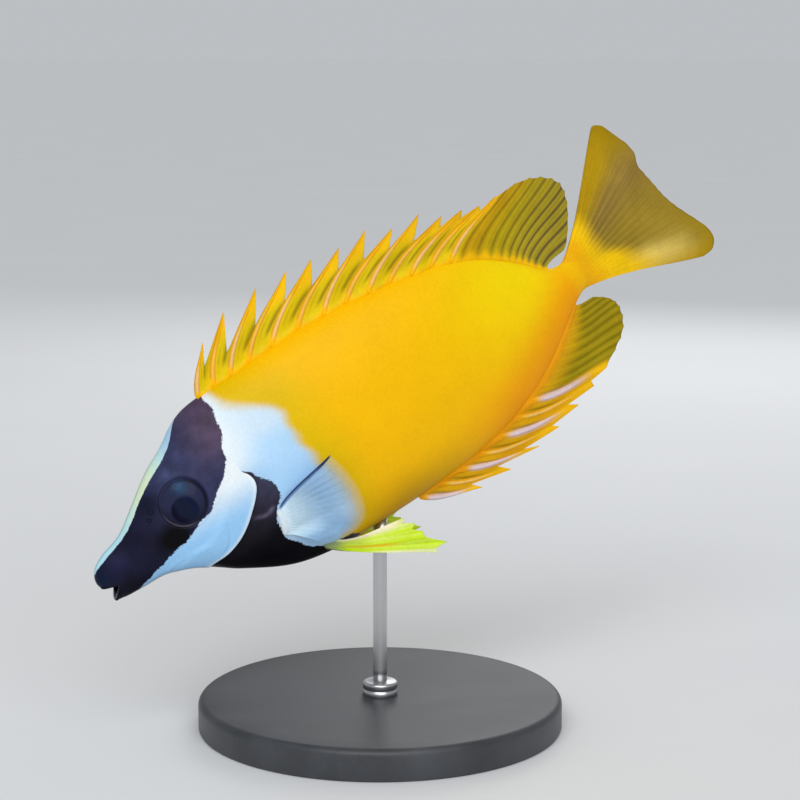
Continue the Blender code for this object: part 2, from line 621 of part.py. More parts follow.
def keep_largest(mesh):
    """Drop every surface of the mesh but the one with the most points."""
    shape = bmesh.new()
    shape.from_mesh(mesh)
    rest, largest = set(shape.verts), set()
    while rest:
        group, front = set(), [rest.pop()]
        while front:
            vertex = front.pop()
            group.add(vertex)
            near = rest.intersection(edge.other_vert(vertex) for edge in vertex.link_edges)
            rest -= near
            front += near
        largest = max(largest, group, key=len)
    loose = [vertex for vertex in shape.verts if vertex not in largest]
    bmesh.ops.delete(shape, geom=loose, context="VERTS")
    bmesh.ops.remove_doubles(shape, verts=shape.verts, dist=MERGE_DISTANCE)
    bmesh.ops.dissolve_degenerate(shape, edges=shape.edges, dist=MERGE_DISTANCE)
    shape.to_mesh(mesh)
    shape.free()


def mouth_cutter(look):
    """Wedge that opens the mouth from its corners to the front of the snout."""
    corner = np.array(MOUTH_CORNER)
    reach, half_width = 3.0, 8.0
    side_view = [corner] + [corner + (lip_front(z) - corner) * reach
                            for z in (UPPER_LIP_Z, LOWER_LIP_Z)]
    points = np.array([(x, y, z) for y in (-half_width, half_width) for x, z in side_view])
    faces = [(0, 1, 2), (3, 4, 5)] + [(k, (k + 1) % 3, (k + 1) % 3 + 3, k + 3) for k in range(3)]
    return add_object("mouth_cutter", pose(bend(points)), faces, look)


def throat_cutter(look):
    """Ball that hollows the lower jaw behind its lip."""
    x, z, depth, radius = THROAT
    down = np.array([1.0, 0.0, -1.0]) / np.sqrt(2)
    across = np.array([0.0, 1.0, 0.0])
    shape = ball_points(np.array([x, 0.0, z]), down, across, np.cross(down, across), depth, radius,
                        THROAT_RINGS, THROAT_SIDES)
    return add_object("throat_cutter", *shape, look)


def underside(x, y):
    """World height of the fish's underside over the point (x, y) of the stand, by halving."""
    low, high = np.full_like(x, ROD_TOP - 12), np.full_like(x, ROD_TOP + 12)
    for _ in range(40):
        middle = (low + high) / 2
        rise = middle - ROD_TOP
        along = HELD_X + x * np.cos(HEAD_DOWN) + rise * np.sin(HEAD_DOWN)
        height = HELD_Z - x * np.sin(HEAD_DOWN) + rise * np.cos(HEAD_DOWN)
        inside = height > keel(along, y)
        high, low = np.where(inside, middle, high), np.where(inside, low, middle)
    return (low + high) / 2


def stand_rod(look):
    """Upright rod with a collar at its foot, its top cut to the slope of the belly."""
    count = 20
    angle = np.arange(count) * 2 * np.pi / count
    foot = BASE_HEIGHT + GAP
    levels = [(COLLAR_RADIUS, foot), (COLLAR_RADIUS, foot + COLLAR_HEIGHT - 0.8),
              (COLLAR_RADIUS - 0.8, foot + COLLAR_HEIGHT), (ROD_RADIUS, foot + COLLAR_HEIGHT)]
    rings = [np.stack([r * np.cos(angle), r * np.sin(angle), 0 * angle + z], -1) for r, z in levels]
    clear = GAP / np.cos(HEAD_DOWN) + 0.05
    x, y = ROD_RADIUS * np.cos(angle), ROD_RADIUS * np.sin(angle)
    rings.append(np.stack([x, y, underside(x, y) - clear], -1))
    middle = underside(np.zeros(1), np.zeros(1))[0] - clear
    points = np.concatenate([*rings, [[0, 0, middle]], [[0, 0, foot]]])
    faces = quads(len(rings), count, closed=True)
    top, start = len(points) - 2, (len(rings) - 1) * count
    faces += [(top, start + k, start + (k + 1) % count) for k in range(count)]
    faces += [(top + 1, (k + 1) % count, k) for k in range(count)]
    return add_object("stand_rod", points, faces, look)


def stand_base(look):
    """Round base plate with a rounded upper edge."""
    count = 48
    angle = np.arange(count) * 2 * np.pi / count
    arc = np.linspace(0, np.pi / 2, 4)
    profile = [(BASE_RADIUS - 0.6, 0), (BASE_RADIUS, 0.6)]
    profile += [(BASE_RADIUS - BASE_EDGE + BASE_EDGE * np.cos(a),
                 BASE_HEIGHT - BASE_EDGE + BASE_EDGE * np.sin(a)) for a in arc]
    rings = [np.stack([r * np.cos(angle), r * np.sin(angle), 0 * angle + z], -1) for r, z in profile]
    faces = quads(len(rings), count, closed=True)
    faces += [tuple(range(count)), tuple((len(rings) - 1) * count + k for k in range(count))]
    return add_object("stand_base", np.concatenate(rings), faces, look)


def build():
    """Make every node of the model."""
    clear_scene()
    mask = material("dark_mask", (0.10, 0.05, 0.08), 0.5)
    yellow = material("yellow_skin", (0.90, 0.55, 0.02), 0.45)
    fin = material("fin", (0.75, 0.50, 0.04), 0.5)
    pale = material("pale_fin", (0.60, 0.75, 0.85), 0.4)
    eye = material("eye", (0.03, 0.04, 0.06), 0.1)
    steel = material("steel", (0.60, 0.60, 0.60), 0.3, 1.0)
    plate = material("stand_plate", (0.06, 0.06, 0.065), 0.4)
    head = head_solid(mask)
    trunk_solid(yellow)
    stalk_solid(yellow)
    dorsal_fin(fin)
    anal_fin(fin)
    caudal_fin(fin)
    holes = [mouth_cutter(mask), throat_cutter(mask)]
    for word, side in (("left", -1), ("right", 1)):
        pectoral_fin("pectoral_fin_" + word, side, pale)
        pelvic_fin("pelvic_fin_" + word, side, fin)
        add_object("eye_" + word, *eye_points(side, 0.0), eye)
        holes.append(add_object("socket_" + word, *eye_points(side, GAP), eye))
        holes += [add_object("nostril", *nostril_points(side, *pit), mask) for pit in NOSTRILS]
    change_shape(head, holes, "DIFFERENCE")
    change_shape(head, lips(mask), "UNION")
    stand_rod(steel)
    stand_base(plate)


build()
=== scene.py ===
"""Looks of the foxface rabbitfish: skin, mouth, eyes, fins and display stand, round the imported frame.

Shapes are drawn as in the fish straightened out, in millimetres: x from the snout to the tail, y to
the fish's right, z to its back. They are then bent along the spine and tipped over the stand.
"""
import math

import bpy
import numpy as np
from mathutils import Matrix, Vector


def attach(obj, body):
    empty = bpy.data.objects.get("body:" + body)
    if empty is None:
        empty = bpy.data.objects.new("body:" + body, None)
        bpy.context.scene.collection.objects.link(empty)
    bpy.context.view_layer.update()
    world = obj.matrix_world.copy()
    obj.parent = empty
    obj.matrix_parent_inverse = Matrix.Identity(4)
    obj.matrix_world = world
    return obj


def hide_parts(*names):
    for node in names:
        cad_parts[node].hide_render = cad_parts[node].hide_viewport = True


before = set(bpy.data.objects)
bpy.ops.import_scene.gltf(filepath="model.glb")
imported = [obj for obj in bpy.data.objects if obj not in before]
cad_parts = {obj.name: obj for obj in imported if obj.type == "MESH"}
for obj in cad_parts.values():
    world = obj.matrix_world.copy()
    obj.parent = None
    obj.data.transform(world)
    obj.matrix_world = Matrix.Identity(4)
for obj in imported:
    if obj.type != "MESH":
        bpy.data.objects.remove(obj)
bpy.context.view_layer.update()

# Skin: one unbroken sheet over the head, the trunk and the tail stalk, thin, moist and finely
# scaled. It folds in under the free rim of each gill cover and in at the mouth, dips into the
# two eye sockets and runs out as a thin sheath over the root of the tail fin.
MM = 0.001
SNOUT_X, SHEATH_X = -1.0, 180.0        # the skin's two ends, the rear one hidden in the tail fin
BACK = [(-1.0, -0.4), (-0.3, 1.9), (0.6, 3.2), (4.2, 5.4), (11.9, 8.2), (18.5, 13.0), (26, 18.5),
        (34, 22.9), (38, 25.6), (42, 27.5), (50, 28.7), (62, 29.1), (80, 29.8), (100, 28.3),
        (120, 24.4), (132, 20.8), (144, 14.4), (153, 7.3), (159, 0.6), (163, -1.9), (166, -2.5),
        (169, -2.2), (173, -0.4), (180, 3.4)]
BELLY = [(-1.0, -0.4), (-0.75, -1.6), (0.1, -4.1), (1.1, -6.8), (3.2, -7.7), (9, -8.3),
         (18.8, -9.4), (24.2, -11.7), (35, -19.4), (50, -27.4), (60, -29.6), (75, -30.4),
         (95, -30.4), (119, -28.8), (133, -26.0), (143, -22.6), (152, -18.0), (158, -15.3),
         (163, -13.9), (166, -13.5), (169, -13.8), (173, -15.3), (180, -19.0)]
HALF_WIDTH = [(-1.0, 0), (0.6, 2.7), (3, 3.6), (8, 4.6), (14, 5.7), (21, 7.5), (28, 9.1),
              (36, 10.4), (45, 11.4), (60, 12.2), (75, 12.2), (90, 11.4), (105, 9.9),
              (120, 7.9), (135, 5.5), (147, 3.9), (156, 3.0), (163, 2.45), (167, 2.0), (172, 0.9),
              (176, 0.3), (180, 0.04)]
FULLNESS = [(-1.0, 0.8), (12, 0.95), (30, 1.0), (60, 1.1), (130, 1.1), (167, 1.0)]
GILL_EDGE = [(-1, 26.8), (-0.85, 28.7), (-0.61, 34.4), (-0.5, 37.4), (-0.34, 41.3), (-0.19, 44.5),
             (-0.06, 47.2), (0.05, 48.9), (0.12, 49.15), (0.18, 48.6), (0.23, 47.5),
             (0.34, 47.4), (0.6, 48.4), (1, 48.6)]   # (height in the section, x)
GILL_SLIT_TOP = 0.25
GILL_STEP, GILL_STEP_LENGTH = 0.8, 7.0
GILL_RAISE, GILL_PLATE = 0.5, (11.0, 7.5)
GILL_LIP = [(0.12, 0.40), (0.16, 0.12), (0.02, -0.12), (-0.7, -0.45), (-0.7, -0.8), (0.1, -0.85)]
LIP_OUTSIDE = 3                        # steps of the gill lip that still belong to the head
LIP_SPACING, TRUNK_GAP = 0.03, 0.35    # along x, from ring to ring and from the rim to the trunk
SIDE_BEND = (20.0, 75.0, 160.0)        # degrees, from x, to x
TAIL_LIFT = (9.0, 140.0, 162.0)
HEAD_DOWN = math.radians(29.9)
HELD_X, HELD_Z, ROD_TOP = 75.3, -30.4, 59.5
HEAD_RINGS, TRUNK_RINGS, TURNS = 150, 120, 112
SNOUT_CROWDING = 1.35                  # above 1, the rings of the head lie closer at the snout


def smooth_line(place, value, at):
    """Value at each place of a smooth line through knots: cubic pieces whose slope at a knot is
    the mean of its neighbours' slopes, weighted by the other one's length."""
    place, value = np.asarray(place, float), np.asarray(value, float)
    step = np.diff(place)
    rise = np.diff(value) / step
    inner = (rise[:-1] * step[1:] + rise[1:] * step[:-1]) / (step[:-1] + step[1:])
    slope = np.concatenate([rise[:1], inner, rise[-1:]])
    piece = np.clip(np.searchsorted(place, at, side="right") - 1, 0, len(step) - 1)
    t = np.clip((at - place[piece]) / step[piece], 0, 1)
    lift = t * t * (3 - 2 * t)
    start = slope[piece] * step[piece] * t * (1 - t) ** 2
    end = slope[piece + 1] * step[piece] * t * t * (1 - t)
    return value[piece] * (1 - lift) + value[piece + 1] * lift + start - end


def line(knots, at):
    """Smooth line through (place, value) knots."""
    place, value = zip(*knots)
    return smooth_line(place, value, np.asarray(at, float))


def outline(knots, x):
    """Smooth line through (x, value) knots, drawn over the root of x, so it is round at the snout."""
    place, value = zip(*knots)
    return smooth_line(np.sqrt(np.array(place) - SNOUT_X), value,
                       np.sqrt(np.maximum(np.asarray(x, float) - SNOUT_X, 0)))


def ramp(at, start, end):
    """Smooth step from 0 at start to 1 at end."""
    t = np.clip((at - start) / (end - start), 0, 1)
    return t * t * (3 - 2 * t)


def fall(at, start, end):
    """Smooth step from 1 at start to 0 at end."""
    return 1 - ramp(at, start, end)


def hump(at, middle, width):
    """Bell curve of height 1 round a middle."""
    return np.exp(-((at - middle) / width) ** 2)


def patch(x, z, middle_x, middle_z, radius, flat=1.0):
    """Soft round patch, a bell curve round its middle that is made lower by a flat above 1."""
    return hump(np.hypot(x - middle_x, (z - middle_z) * flat), 0, radius)


def flank(x, z):
    """Half width of the straight fish at the side point (x, z), from its rounded section."""
    top, low = outline(BACK, x), outline(BELLY, x)
    height = np.clip((2 * z - top - low) / (top - low), -1, 1)
    return outline(HALF_WIDTH, x) * np.sqrt(1 - height ** 2) ** line(FULLNESS, x)


def keel(x, y):
    """Height of the underside of the straight fish at x, a distance y from its midline."""
    top, low = outline(BACK, x), outline(BELLY, x)
    sine = np.clip(np.abs(y) / outline(HALF_WIDTH, x), 0, 1) ** (1 / line(FULLNESS, x))
    return (top + low) / 2 - (top - low) / 2 * np.sqrt(1 - sine ** 2)


def axes_at(x):
    """Directions ahead, right and up of the spine at x, whose side bend and lift are each a
    smooth step along x."""
    side = math.radians(SIDE_BEND[0]) * ramp(x, *SIDE_BEND[1:])
    lift = math.radians(TAIL_LIFT[0]) * ramp(x, *TAIL_LIFT[1:])
    ahead = np.stack([np.cos(lift) * np.cos(side), np.cos(lift) * np.sin(side), np.sin(lift)], -1)
    right = np.stack([-np.sin(side), np.cos(side), 0 * side], -1)
    up = np.stack([-np.sin(lift) * np.cos(side), -np.sin(lift) * np.sin(side), np.cos(lift)], -1)
    return ahead, right, up


SPINE_PLACE = np.linspace(-10, 180, 1901)
SPINE_PATH = np.cumsum(axes_at(SPINE_PLACE)[0], axis=0) * (SPINE_PLACE[1] - SPINE_PLACE[0])
SPINE_PATH = SPINE_PATH - SPINE_PATH[np.argmin(np.abs(SPINE_PLACE))]


def swim(points, foot=None):
    """Straight points set in the fish's swimming pose: each is carried to its place on the bent
    spine, a fin's points rigidly from the x of their foot, and the fish is tipped head down."""
    points = np.asarray(points, float)
    at = points[..., 0] if foot is None else np.broadcast_to(foot, points.shape[:-1])
    centre = np.stack([np.interp(at, SPINE_PLACE, SPINE_PATH[:, k]) for k in range(3)], -1)
    ahead, right, up = axes_at(at)
    along = (points[..., 0] - at)[..., None]
    bent = centre + along * ahead + points[..., 1:2] * right + points[..., 2:3] * up
    x, y, z = bent[..., 0] - HELD_X, bent[..., 1], bent[..., 2] - HELD_Z
    cosine, sine = math.cos(HEAD_DOWN), math.sin(HEAD_DOWN)
    return np.stack([x * cosine - z * sine, y, x * sine + z * cosine + ROD_TOP], -1)


def cells(rows, columns, closed=False, first=0):
    """Four-cornered cells of a grid of rows by columns points, closed round its columns if asked."""
    row = np.arange(rows - 1)[:, None] * columns
    near = np.arange(columns if closed else columns - 1)
    far = (near + 1) % columns
    made = np.stack([row + near, row + far, row + columns + far, row + columns + near], -1)
    return (made.reshape(-1, 4) + first).tolist()


def fan(pole, ring):
    """Triangles from one point to each step of a ring of point numbers."""
    return np.stack([pole + 0 * ring, ring, np.roll(ring, -1)], -1).tolist()


def capped(rows, columns):
    """Faces of a grid closed round its columns, between a first and a last single point."""
    ring = np.arange(1, columns + 1)
    last = rows * columns + 1
    return (fan(0, ring[::-1]) + cells(rows, columns, closed=True, first=1)
            + fan(last, ring + (rows - 1) * columns))


def piece(name, points, faces, look, slot, replaced=(), **attributes):
    """A mesh from points in millimetres, smooth, faces turned outwards, riding on the frame.
    Attributes with three values a point are colours, the others plain numbers."""
    mesh = bpy.data.meshes.new(name)
    points = np.asarray(points).reshape(-1, 3)
    mesh.from_pydata((points * MM).tolist(), [], faces)
    mesh.shade_smooth()
    mesh.calc_loop_triangles()
    corners = np.empty(3 * len(mesh.loop_triangles), int)
    mesh.loop_triangles.foreach_get("vertices", corners)
    one, two, three = points[corners.reshape(-1, 3).T]
    if np.sum(one * np.cross(two, three)) < 0:
        mesh.flip_normals()
    for word, value in attributes.items():
        value = np.asarray(value, np.float32)
        if value.shape[-1] == 3 and value.ndim > 1:
            colour = mesh.attributes.new(word, "FLOAT_COLOR", "POINT")
            full = np.ones((len(mesh.vertices), 4), np.float32)
            full[:, :3] = value.reshape(-1, 3)
            colour.data.foreach_set("color", full.ravel())
        else:
            number = mesh.attributes.new(word, "FLOAT", "POINT")
            number.data.foreach_set("value", value.ravel())
    mesh.materials.append(look)
    made = bpy.data.objects.new(name, mesh)
    bpy.context.collection.objects.link(made)
    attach(made, "root")
    if replaced:
        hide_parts(*replaced)


def tone(red, green, blue):
    """Linear colour of a display colour given from 0 to 255, by the standard display curve: a
    straight line for the darkest levels and a power of 2.4 above."""
    level = np.array([red, green, blue]) / 255
    return np.where(level <= 0.04045, level / 12.92, ((level + 0.055) / 1.055) ** 2.4)


def blend(under, over, share):
    """Mix of two colours by a share of each point."""
    return under + (over - under) * np.asarray(share)[..., None]


def layered(colour, *layers):
    """A colour with layers of (colour, share) mixed over it, one after another."""
    for over, share in layers:
        colour = blend(colour, over, share)
    return colour


def smooth_path(knots, place, count):
    """Points at even places of the smooth line through (x, z) knots that lie at the places given."""
    at = np.linspace(0, place[-1], count)
    return np.stack([smooth_line(place, knots[:, k], at) for k in range(2)], -1)


def off_path(x, z, path):
    """Distance in side view to the nearest of a path's straight steps."""
    nearest = np.full(x.shape, np.inf)
    for (ax, az), (bx, bz) in zip(path[:-1], path[1:]):
        length = (bx - ax) ** 2 + (bz - az) ** 2 + 1e-12
        t = np.clip(((x - ax) * (bx - ax) + (z - az) * (bz - az)) / length, 0, 1)
        nearest = np.minimum(nearest, np.hypot(x - ax - t * (bx - ax), z - az - t * (bz - az)))
    return nearest


def side_edge(x, z, knots):
    """Signed distance in side view to a smooth closed outline through (x, z) knots, positive
    inside, which is where a level ray crosses the outline an odd number of times."""
    loop = np.array(knots + knots[:1], float)
    reach = np.concatenate([[0], np.cumsum(np.hypot(*np.diff(loop, axis=0).T))])
    ring = smooth_path(loop, reach, 12 * len(loop))
    nearest = off_path(x, z, ring)
    inside = np.zeros(x.shape, bool)
    for (ax, az), (bx, bz) in zip(ring[:-1], ring[1:]):
        if az != bz:
            inside ^= ((az > z) != (bz > z)) & (x < ax + (z - az) * (bx - ax) / (bz - az))
    return np.where(inside, nearest, -nearest)


def stroke(x, z, knots):
    """Distance in side view to an open smooth line through (x, z) knots."""
    return off_path(x, z, smooth_path(np.array(knots, float), np.arange(len(knots)), 8 * len(knots)))


def turns(count):
    """Turn from back (0) to belly (pi) and side of each point of a ring, closer on the flanks."""
    share = np.arange(2 * count) / count
    folded = np.where(share <= 1, share, 2 - share)
    return np.pi * folded + 0.15 * np.sin(2 * np.pi * folded), np.where(share <= 1, 1, -1)


def hide(place, turn, side):
    """Surface of the straight fish: at each x an ellipse between back and belly line, whose sine
    is raised to the fullness there, so the flanks are fuller or leaner than a true ellipse."""
    top, low = outline(BACK, place), outline(BELLY, place)
    width = outline(HALF_WIDTH, place) * np.abs(np.sin(turn)) ** line(FULLNESS, place)
    height = (top + low) / 2 + (top - low) / 2 * np.cos(turn)
    return np.stack([place + 0 * turn, side * width, height], -1)


def outward(place, turn, side):
    """Unit normals of the straight surface, square to small steps along and round it, and
    upright on the keel and the ridge of the back."""
    step = 0.02
    along = hide(place + step, turn, side) - hide(np.maximum(place - step, SNOUT_X), turn, side)
    low_turn, high_turn = np.clip(turn - step, 0, np.pi), np.clip(turn + step, 0, np.pi)
    around = hide(place, high_turn, side) - hide(place, low_turn, side)
    normal = np.cross(along, around) * np.sign(side)[..., None]
    upright = np.stack([0 * turn, 0 * turn, np.sign(np.cos(turn))], -1)
    normal = np.where((np.sin(turn) < step)[..., None], upright, normal)
    return normal / np.maximum(np.linalg.norm(normal, axis=-1, keepdims=True), 1e-9)


# Eye sockets: a low rim of skin, and in it a wall down to the floor under the eyeball
EYE_X, EYE_Z = 29.9, 8.2
EYE_RADIUS, EYE_DEPTH, EYE_SUNK = 7.9, 4.2, 3.0
RIM_RADIUS, RIM_WIDTH, RIM_HEIGHT = 7.3, 0.42, 0.28
SOCKET_WALL, SOCKET_DEPTH = (6.1, 7.05), 1.8


def eye_frame(side):
    """Centre of an eyeball and its axes: out of the head, forward and up along the head."""
    step = 0.5
    here = np.array([EYE_X, flank(EYE_X, EYE_Z), EYE_Z])
    along = np.array([step, flank(EYE_X + step, EYE_Z) - here[1], 0])
    upward = np.array([0, flank(EYE_X, EYE_Z + step) - here[1], step])
    out = np.cross(upward, along)
    out /= np.linalg.norm(out)
    ahead = along / np.linalg.norm(along)
    rise = np.cross(ahead, out)
    mirror = np.array([1, side, 1])
    return (here - out * EYE_SUNK) * mirror, out * mirror, ahead * mirror, rise * mirror


def socket_lift(points):
    """Lift of the skin round the eyes: a bell-shaped rim, less a smooth step inside it."""
    lift = 0
    for side in (-1, 1):
        centre, _, ahead, rise = eye_frame(side)
        off = points - centre
        radius = np.hypot(off @ ahead, off @ rise)
        rim = RIM_HEIGHT * hump(radius, RIM_RADIUS, RIM_WIDTH)
        socket = rim - SOCKET_DEPTH * fall(radius, *SOCKET_WALL)
        lift = lift + (np.sign(points[..., 1]) == side) * socket
    return lift


# Mouth: the skin between two rays from its corner folds in onto the two jaws
MOUTH_CORNER = np.array([3.5, -3.2])
UPPER_LIP_Z, LOWER_LIP_Z = -2.1, -6.7
GAPE_END = MOUTH_CORNER[0] + 0.5
THROAT_DEPTH, THROAT_DROP, THROAT_HALF_WIDTH = 2.6, 0.5, 4.2


def lip_front(height):
    """(x, z) point of the outline at the front of the snout at a height."""
    x = np.linspace(SNOUT_X, MOUTH_CORNER[0], 400)
    return np.array([np.interp(-height, -outline(BELLY, x), x), height])


def open_mouth(points):
    """Straight points with the gape folded in, and how far each is folded, from 0 to 1. A point
    between the two rays keeps its distance from the midline and slides along the nearer jaw
    towards the hinge, all the way at the middle of the gape, where the throat deepens the fold."""
    off = points[..., [0, 2]] - MOUTH_CORNER
    angle = np.arctan2(-off[..., 1], -off[..., 0])
    ways = [lip_front(height) - MOUTH_CORNER for height in (UPPER_LIP_Z, LOWER_LIP_Z)]
    upper, lower = [math.atan2(-way[1], -way[0]) for way in ways]
    share = (angle - upper) / (lower - upper)
    gape = (share > 0) & (share < 1) & (points[..., 0] < GAPE_END)
    fold = 1 - np.abs(1 - 2 * share)
    jaw = np.where(share < 0.5, upper, lower)
    left = np.hypot(off[..., 0], off[..., 1]) * fall(fold, 0, 1)
    deep = THROAT_DEPTH * ramp(fold, 0.5, 1) * (1 - (points[..., 1] / THROAT_HALF_WIDTH) ** 2)
    folded = np.stack([MOUTH_CORNER[0] - left * np.cos(jaw) + deep, points[..., 1],
                       MOUTH_CORNER[1] - left * np.sin(jaw) - THROAT_DROP * deep], -1)
    return np.where(gape[..., None], folded, points), np.where(gape, fold, 0)


turn, side = turns(TURNS)
edge = line(GILL_EDGE, np.cos(turn))
slit = ramp(-np.cos(turn), -GILL_SLIT_TOP, 0.0) * np.sin(turn) ** 0.5
head_place = SNOUT_X + (edge - SNOUT_X) * np.linspace(0, 1, HEAD_RINGS + 1)[1:, None] ** SNOUT_CROWDING
head_lift = GILL_RAISE * ramp(edge - head_place, *GILL_PLATE) * slit
rim = np.array(GILL_LIP)
rim_place = edge + LIP_SPACING * np.arange(1, len(rim) + 1)[:, None] + rim[:, :1] * slit
front = edge + TRUNK_GAP
trunk_place = front + (SHEATH_X - front) * np.linspace(0, 1, TRUNK_RINGS)[:, None]
trunk_lift = -GILL_STEP * fall(trunk_place - front, 0, GILL_STEP_LENGTH) * slit
place = np.concatenate([head_place, rim_place, trunk_place])
turn, side = turn + 0 * place, side + 0 * place
plain, normal = hide(place, turn, side), outward(place, turn, side)
x, y, z = plain[..., 0], np.abs(plain[..., 1]), plain[..., 2]
behind = (np.arange(len(place)) >= HEAD_RINGS + LIP_OUTSIDE)[:, None] * 1.0
ahead_of_gill = 1 - behind

# Low relief of the head and flank: (x, z) lines in side view, each with its height and width
CHEEK_FOLD = [(36.9, -3.5), (36.3, -6.0), (34.9, -8.8), (32.8, -10.6)]
CHEEK_RIDGE = [(17.5, -7.2), (20.5, -6.5), (24.5, -5.9), (28.5, -6.1)]
SNOUT_CREASE = [(2.6, -1.9), (4.4, -2.0), (6.6, -3.0), (8.0, -4.4)]
LATERAL_LINE = [(51, 17.5), (58, 20.4), (70, 23.0), (85, 23.4), (100, 21.7), (115, 18.3),
                (130, 12.8), (142, 5.5), (152, -2.5), (160, -7.2), (166, -8.0)]
PAD_X, PAD_Z, PAD_HEIGHT = 50.4, -11.0, 0.55         # flesh under the root of the pectoral fin
lift = np.concatenate([head_lift, rim[:, 1:] * slit, trunk_lift]) + socket_lift(plain)
for path, height, width, where in (
        (CHEEK_FOLD, -0.22, 0.45, ahead_of_gill), (CHEEK_RIDGE, 0.20, 0.9, ahead_of_gill),
        (SNOUT_CREASE, -0.16, 0.35, 1), (LATERAL_LINE, 0.10, 0.45, behind)):
    lift = lift + height * hump(stroke(x, z, path), 0, width) * where
lift = lift + PAD_HEIGHT * patch(x, z, PAD_X, PAD_Z, 3.0, 0.7) * behind
skin_points, mouth_fold = open_mouth(plain + normal * lift[..., None])

# Colour regions of the skin: closed (x, z) outlines in side view
MASK = [(49.8, 27.6), (50.3, 25.3), (49.5, 22.2), (48.5, 18.2), (46.7, 16.1), (46.1, 13.0),
        (44.0, 10.3), (42.5, 8.4), (39.9, 6.8), (37.4, 4.5), (34.5, 2.1), (30.8, 1.1), (26.6, -1.3),
        (20.2, -3.1), (16.4, -4.7), (12.8, -5.9), (8.3, -7.9), (6.5, -12), (-5, -12), (-8, 8),
        (10, 24), (38, 36), (50, 34)]
CHEST = [(47.3, 7.7), (48.6, 6.9), (49.8, 5.3), (51.0, 3.1), (53.1, 0.8), (53.6, -1.4),
         (53.4, -4.5), (50.9, -6.8), (49.3, -9.7), (48.9, -13.1), (49.1, -16.3), (51.3, -18.9),
         (53.4, -22.4), (58.0, -25.3), (68.0, -28.6), (68.0, -36), (40, -36), (18, -26), (18, -10),
         (40, -6), (46.6, 2.5)]
GOLD = [(51.0, 34), (51.6, 28.0), (52.8, 25.0), (56.0, 22.2), (60.0, 19.8), (64.0, 17.0),
        (65.0, 15.2), (64.7, 10.8), (65.2, 5.2), (66.4, -0.7), (66.6, -6.0), (66.4, -12.0),
        (65.4, -18.0), (63.5, -23.0), (61.5, -30.0), (62, -40), (200, -40), (240, 0), (200, 44),
        (52, 44)]
BLAZE = [(-0.6, 0.0), (0.0, 0.8), (0.8, 1.3), (3, 1.9), (10, 2.2), (16, 2.9), (20, 2.9), (27, 3.6),
         (32, 3.5), (37, 2.4), (40, 0.2), (43, -1.5), (60, -6)]      # (x, half width)
FOLD_BEHIND_GILL = [(44.6, -6.2), (46.2, -6.9), (48.0, -6.9), (49.6, -6.1)]
low_z = outline(BELLY, x)
over_belly, over_middle = z - low_z, z - (outline(BACK, x) + low_z) / 2
mask_edge, chest_edge, gold_edge = [side_edge(x, z, region) for region in (MASK, CHEST, GOLD)]
blaze_edge = line(BLAZE, x) - y - 6 * fall(over_middle, 0.5, 3.0)
dark_edge = np.maximum(mask_edge, np.where(behind > 0, chest_edge, -9.0))

YELLOW, BRIGHT = tone(255, 194, 0), tone(255, 224, 0)
ORANGE, OCHRE, LEMON, STALK = tone(252, 160, 0), tone(202, 150, 0), tone(224, 190, 2), tone(250, 182, 2)
ground = layered(
    YELLOW,
    (BRIGHT, 0.9 * patch(x, z, 146, 8, 26, 1.4)),
    (ORANGE, 0.9 * fall(over_belly, 2, 20) * ramp(x, 96, 130) * fall(x, 160, 168)),
    (STALK, 0.7 * ramp(x, 162, 171)),
    (OCHRE, 0.85 * fall(over_belly, 1, 16) * fall(x, 84, 120)),
    (LEMON, 0.75 * fall(gold_edge, 2, 16)))
WHITE, SHOULDER = tone(212, 234, 250), tone(186, 224, 255)
SHADE, JAW = tone(172, 216, 254), tone(150, 172, 190)
CHEEK, CHEEK_LOW, CHEST_BLUE = tone(246, 253, 255), tone(160, 212, 255), tone(178, 216, 250)
shoulder = ramp(z, 4, 11)
pale = layered(
    WHITE,
    (SHOULDER, fall(z, 9, 16) * behind),
    (SHADE, fall(z, -3, 9) * behind),
    (CHEEK, 0.9 * (ahead_of_gill * (1 - shoulder) + shoulder * fall(x, 45, 58))),
    (CHEEK_LOW, ahead_of_gill * fall(z, -4, 8)),
    (CHEST_BLUE, 0.8 * behind * fall(z, -19, -11)),
    (CHEEK, 0.8 * patch(x, z, PAD_X + 3, PAD_Z - 2, 4)),
    (JAW, 0.8 * ahead_of_gill * fall(over_belly, 0.3, 2.2)),
    # painted highlight: the free rim of the gill cover is lightened to near white
    (CHEEK, 0.6 * ahead_of_gill * hump(edge - x, 0.2, 0.7) * fall(z, 6, 8)))
ground = blend(pale, ground, ramp(gold_edge + 0.35 * np.sin(0.9 * x + z), -1.6, 1.9))
MAUVE, PLUM, SNOUT = tone(78, 63, 86), tone(55, 58, 91), tone(24, 24, 48)
SOOT, STEEL_BLUE, VIOLET = tone(4, 3, 7), tone(8, 28, 58), tone(38, 36, 74)
EYE_FRONT, BROW_HIGHLIGHT = tone(14, 19, 38), tone(72, 86, 126)
mask_tone = layered(
    PLUM,
    (MAUVE, ramp(x, 34, 47) * ramp(z, 8, 19)),
    (SNOUT, fall(x, 14, 33)),
    (EYE_FRONT, 0.85 * patch(x, z, 21.8, 12.0, 3.6)),
    # painted highlight: a pale soft patch on the skin just above the eye
    (BROW_HIGHLIGHT, 0.6 * patch(x, z, 30.6, 16.4, 1.9)),
    (SOOT, np.minimum(1.3 * patch(x, z, 23.4, 0.6, 6.2, 1.3), 1)),
    (VIOLET, 0.42 * patch(x, z, 6.6, 2.4, 2.8)),
    (SOOT, 0.6 * fall(x, 7, 15) * fall(z, -5, -1.5)),
    (STEEL_BLUE, 0.8 * patch(x, z, 0.8, 0.8, 2.4)))
CHEST_TOP, CHEST_LOW, CHEST_FOLD = tone(50, 45, 62), tone(12, 10, 16), tone(112, 104, 132)
CHEST_REAR, KEEL_GREY, MOUTH_SHADOW = tone(62, 66, 92), tone(88, 92, 108), tone(6, 5, 9)
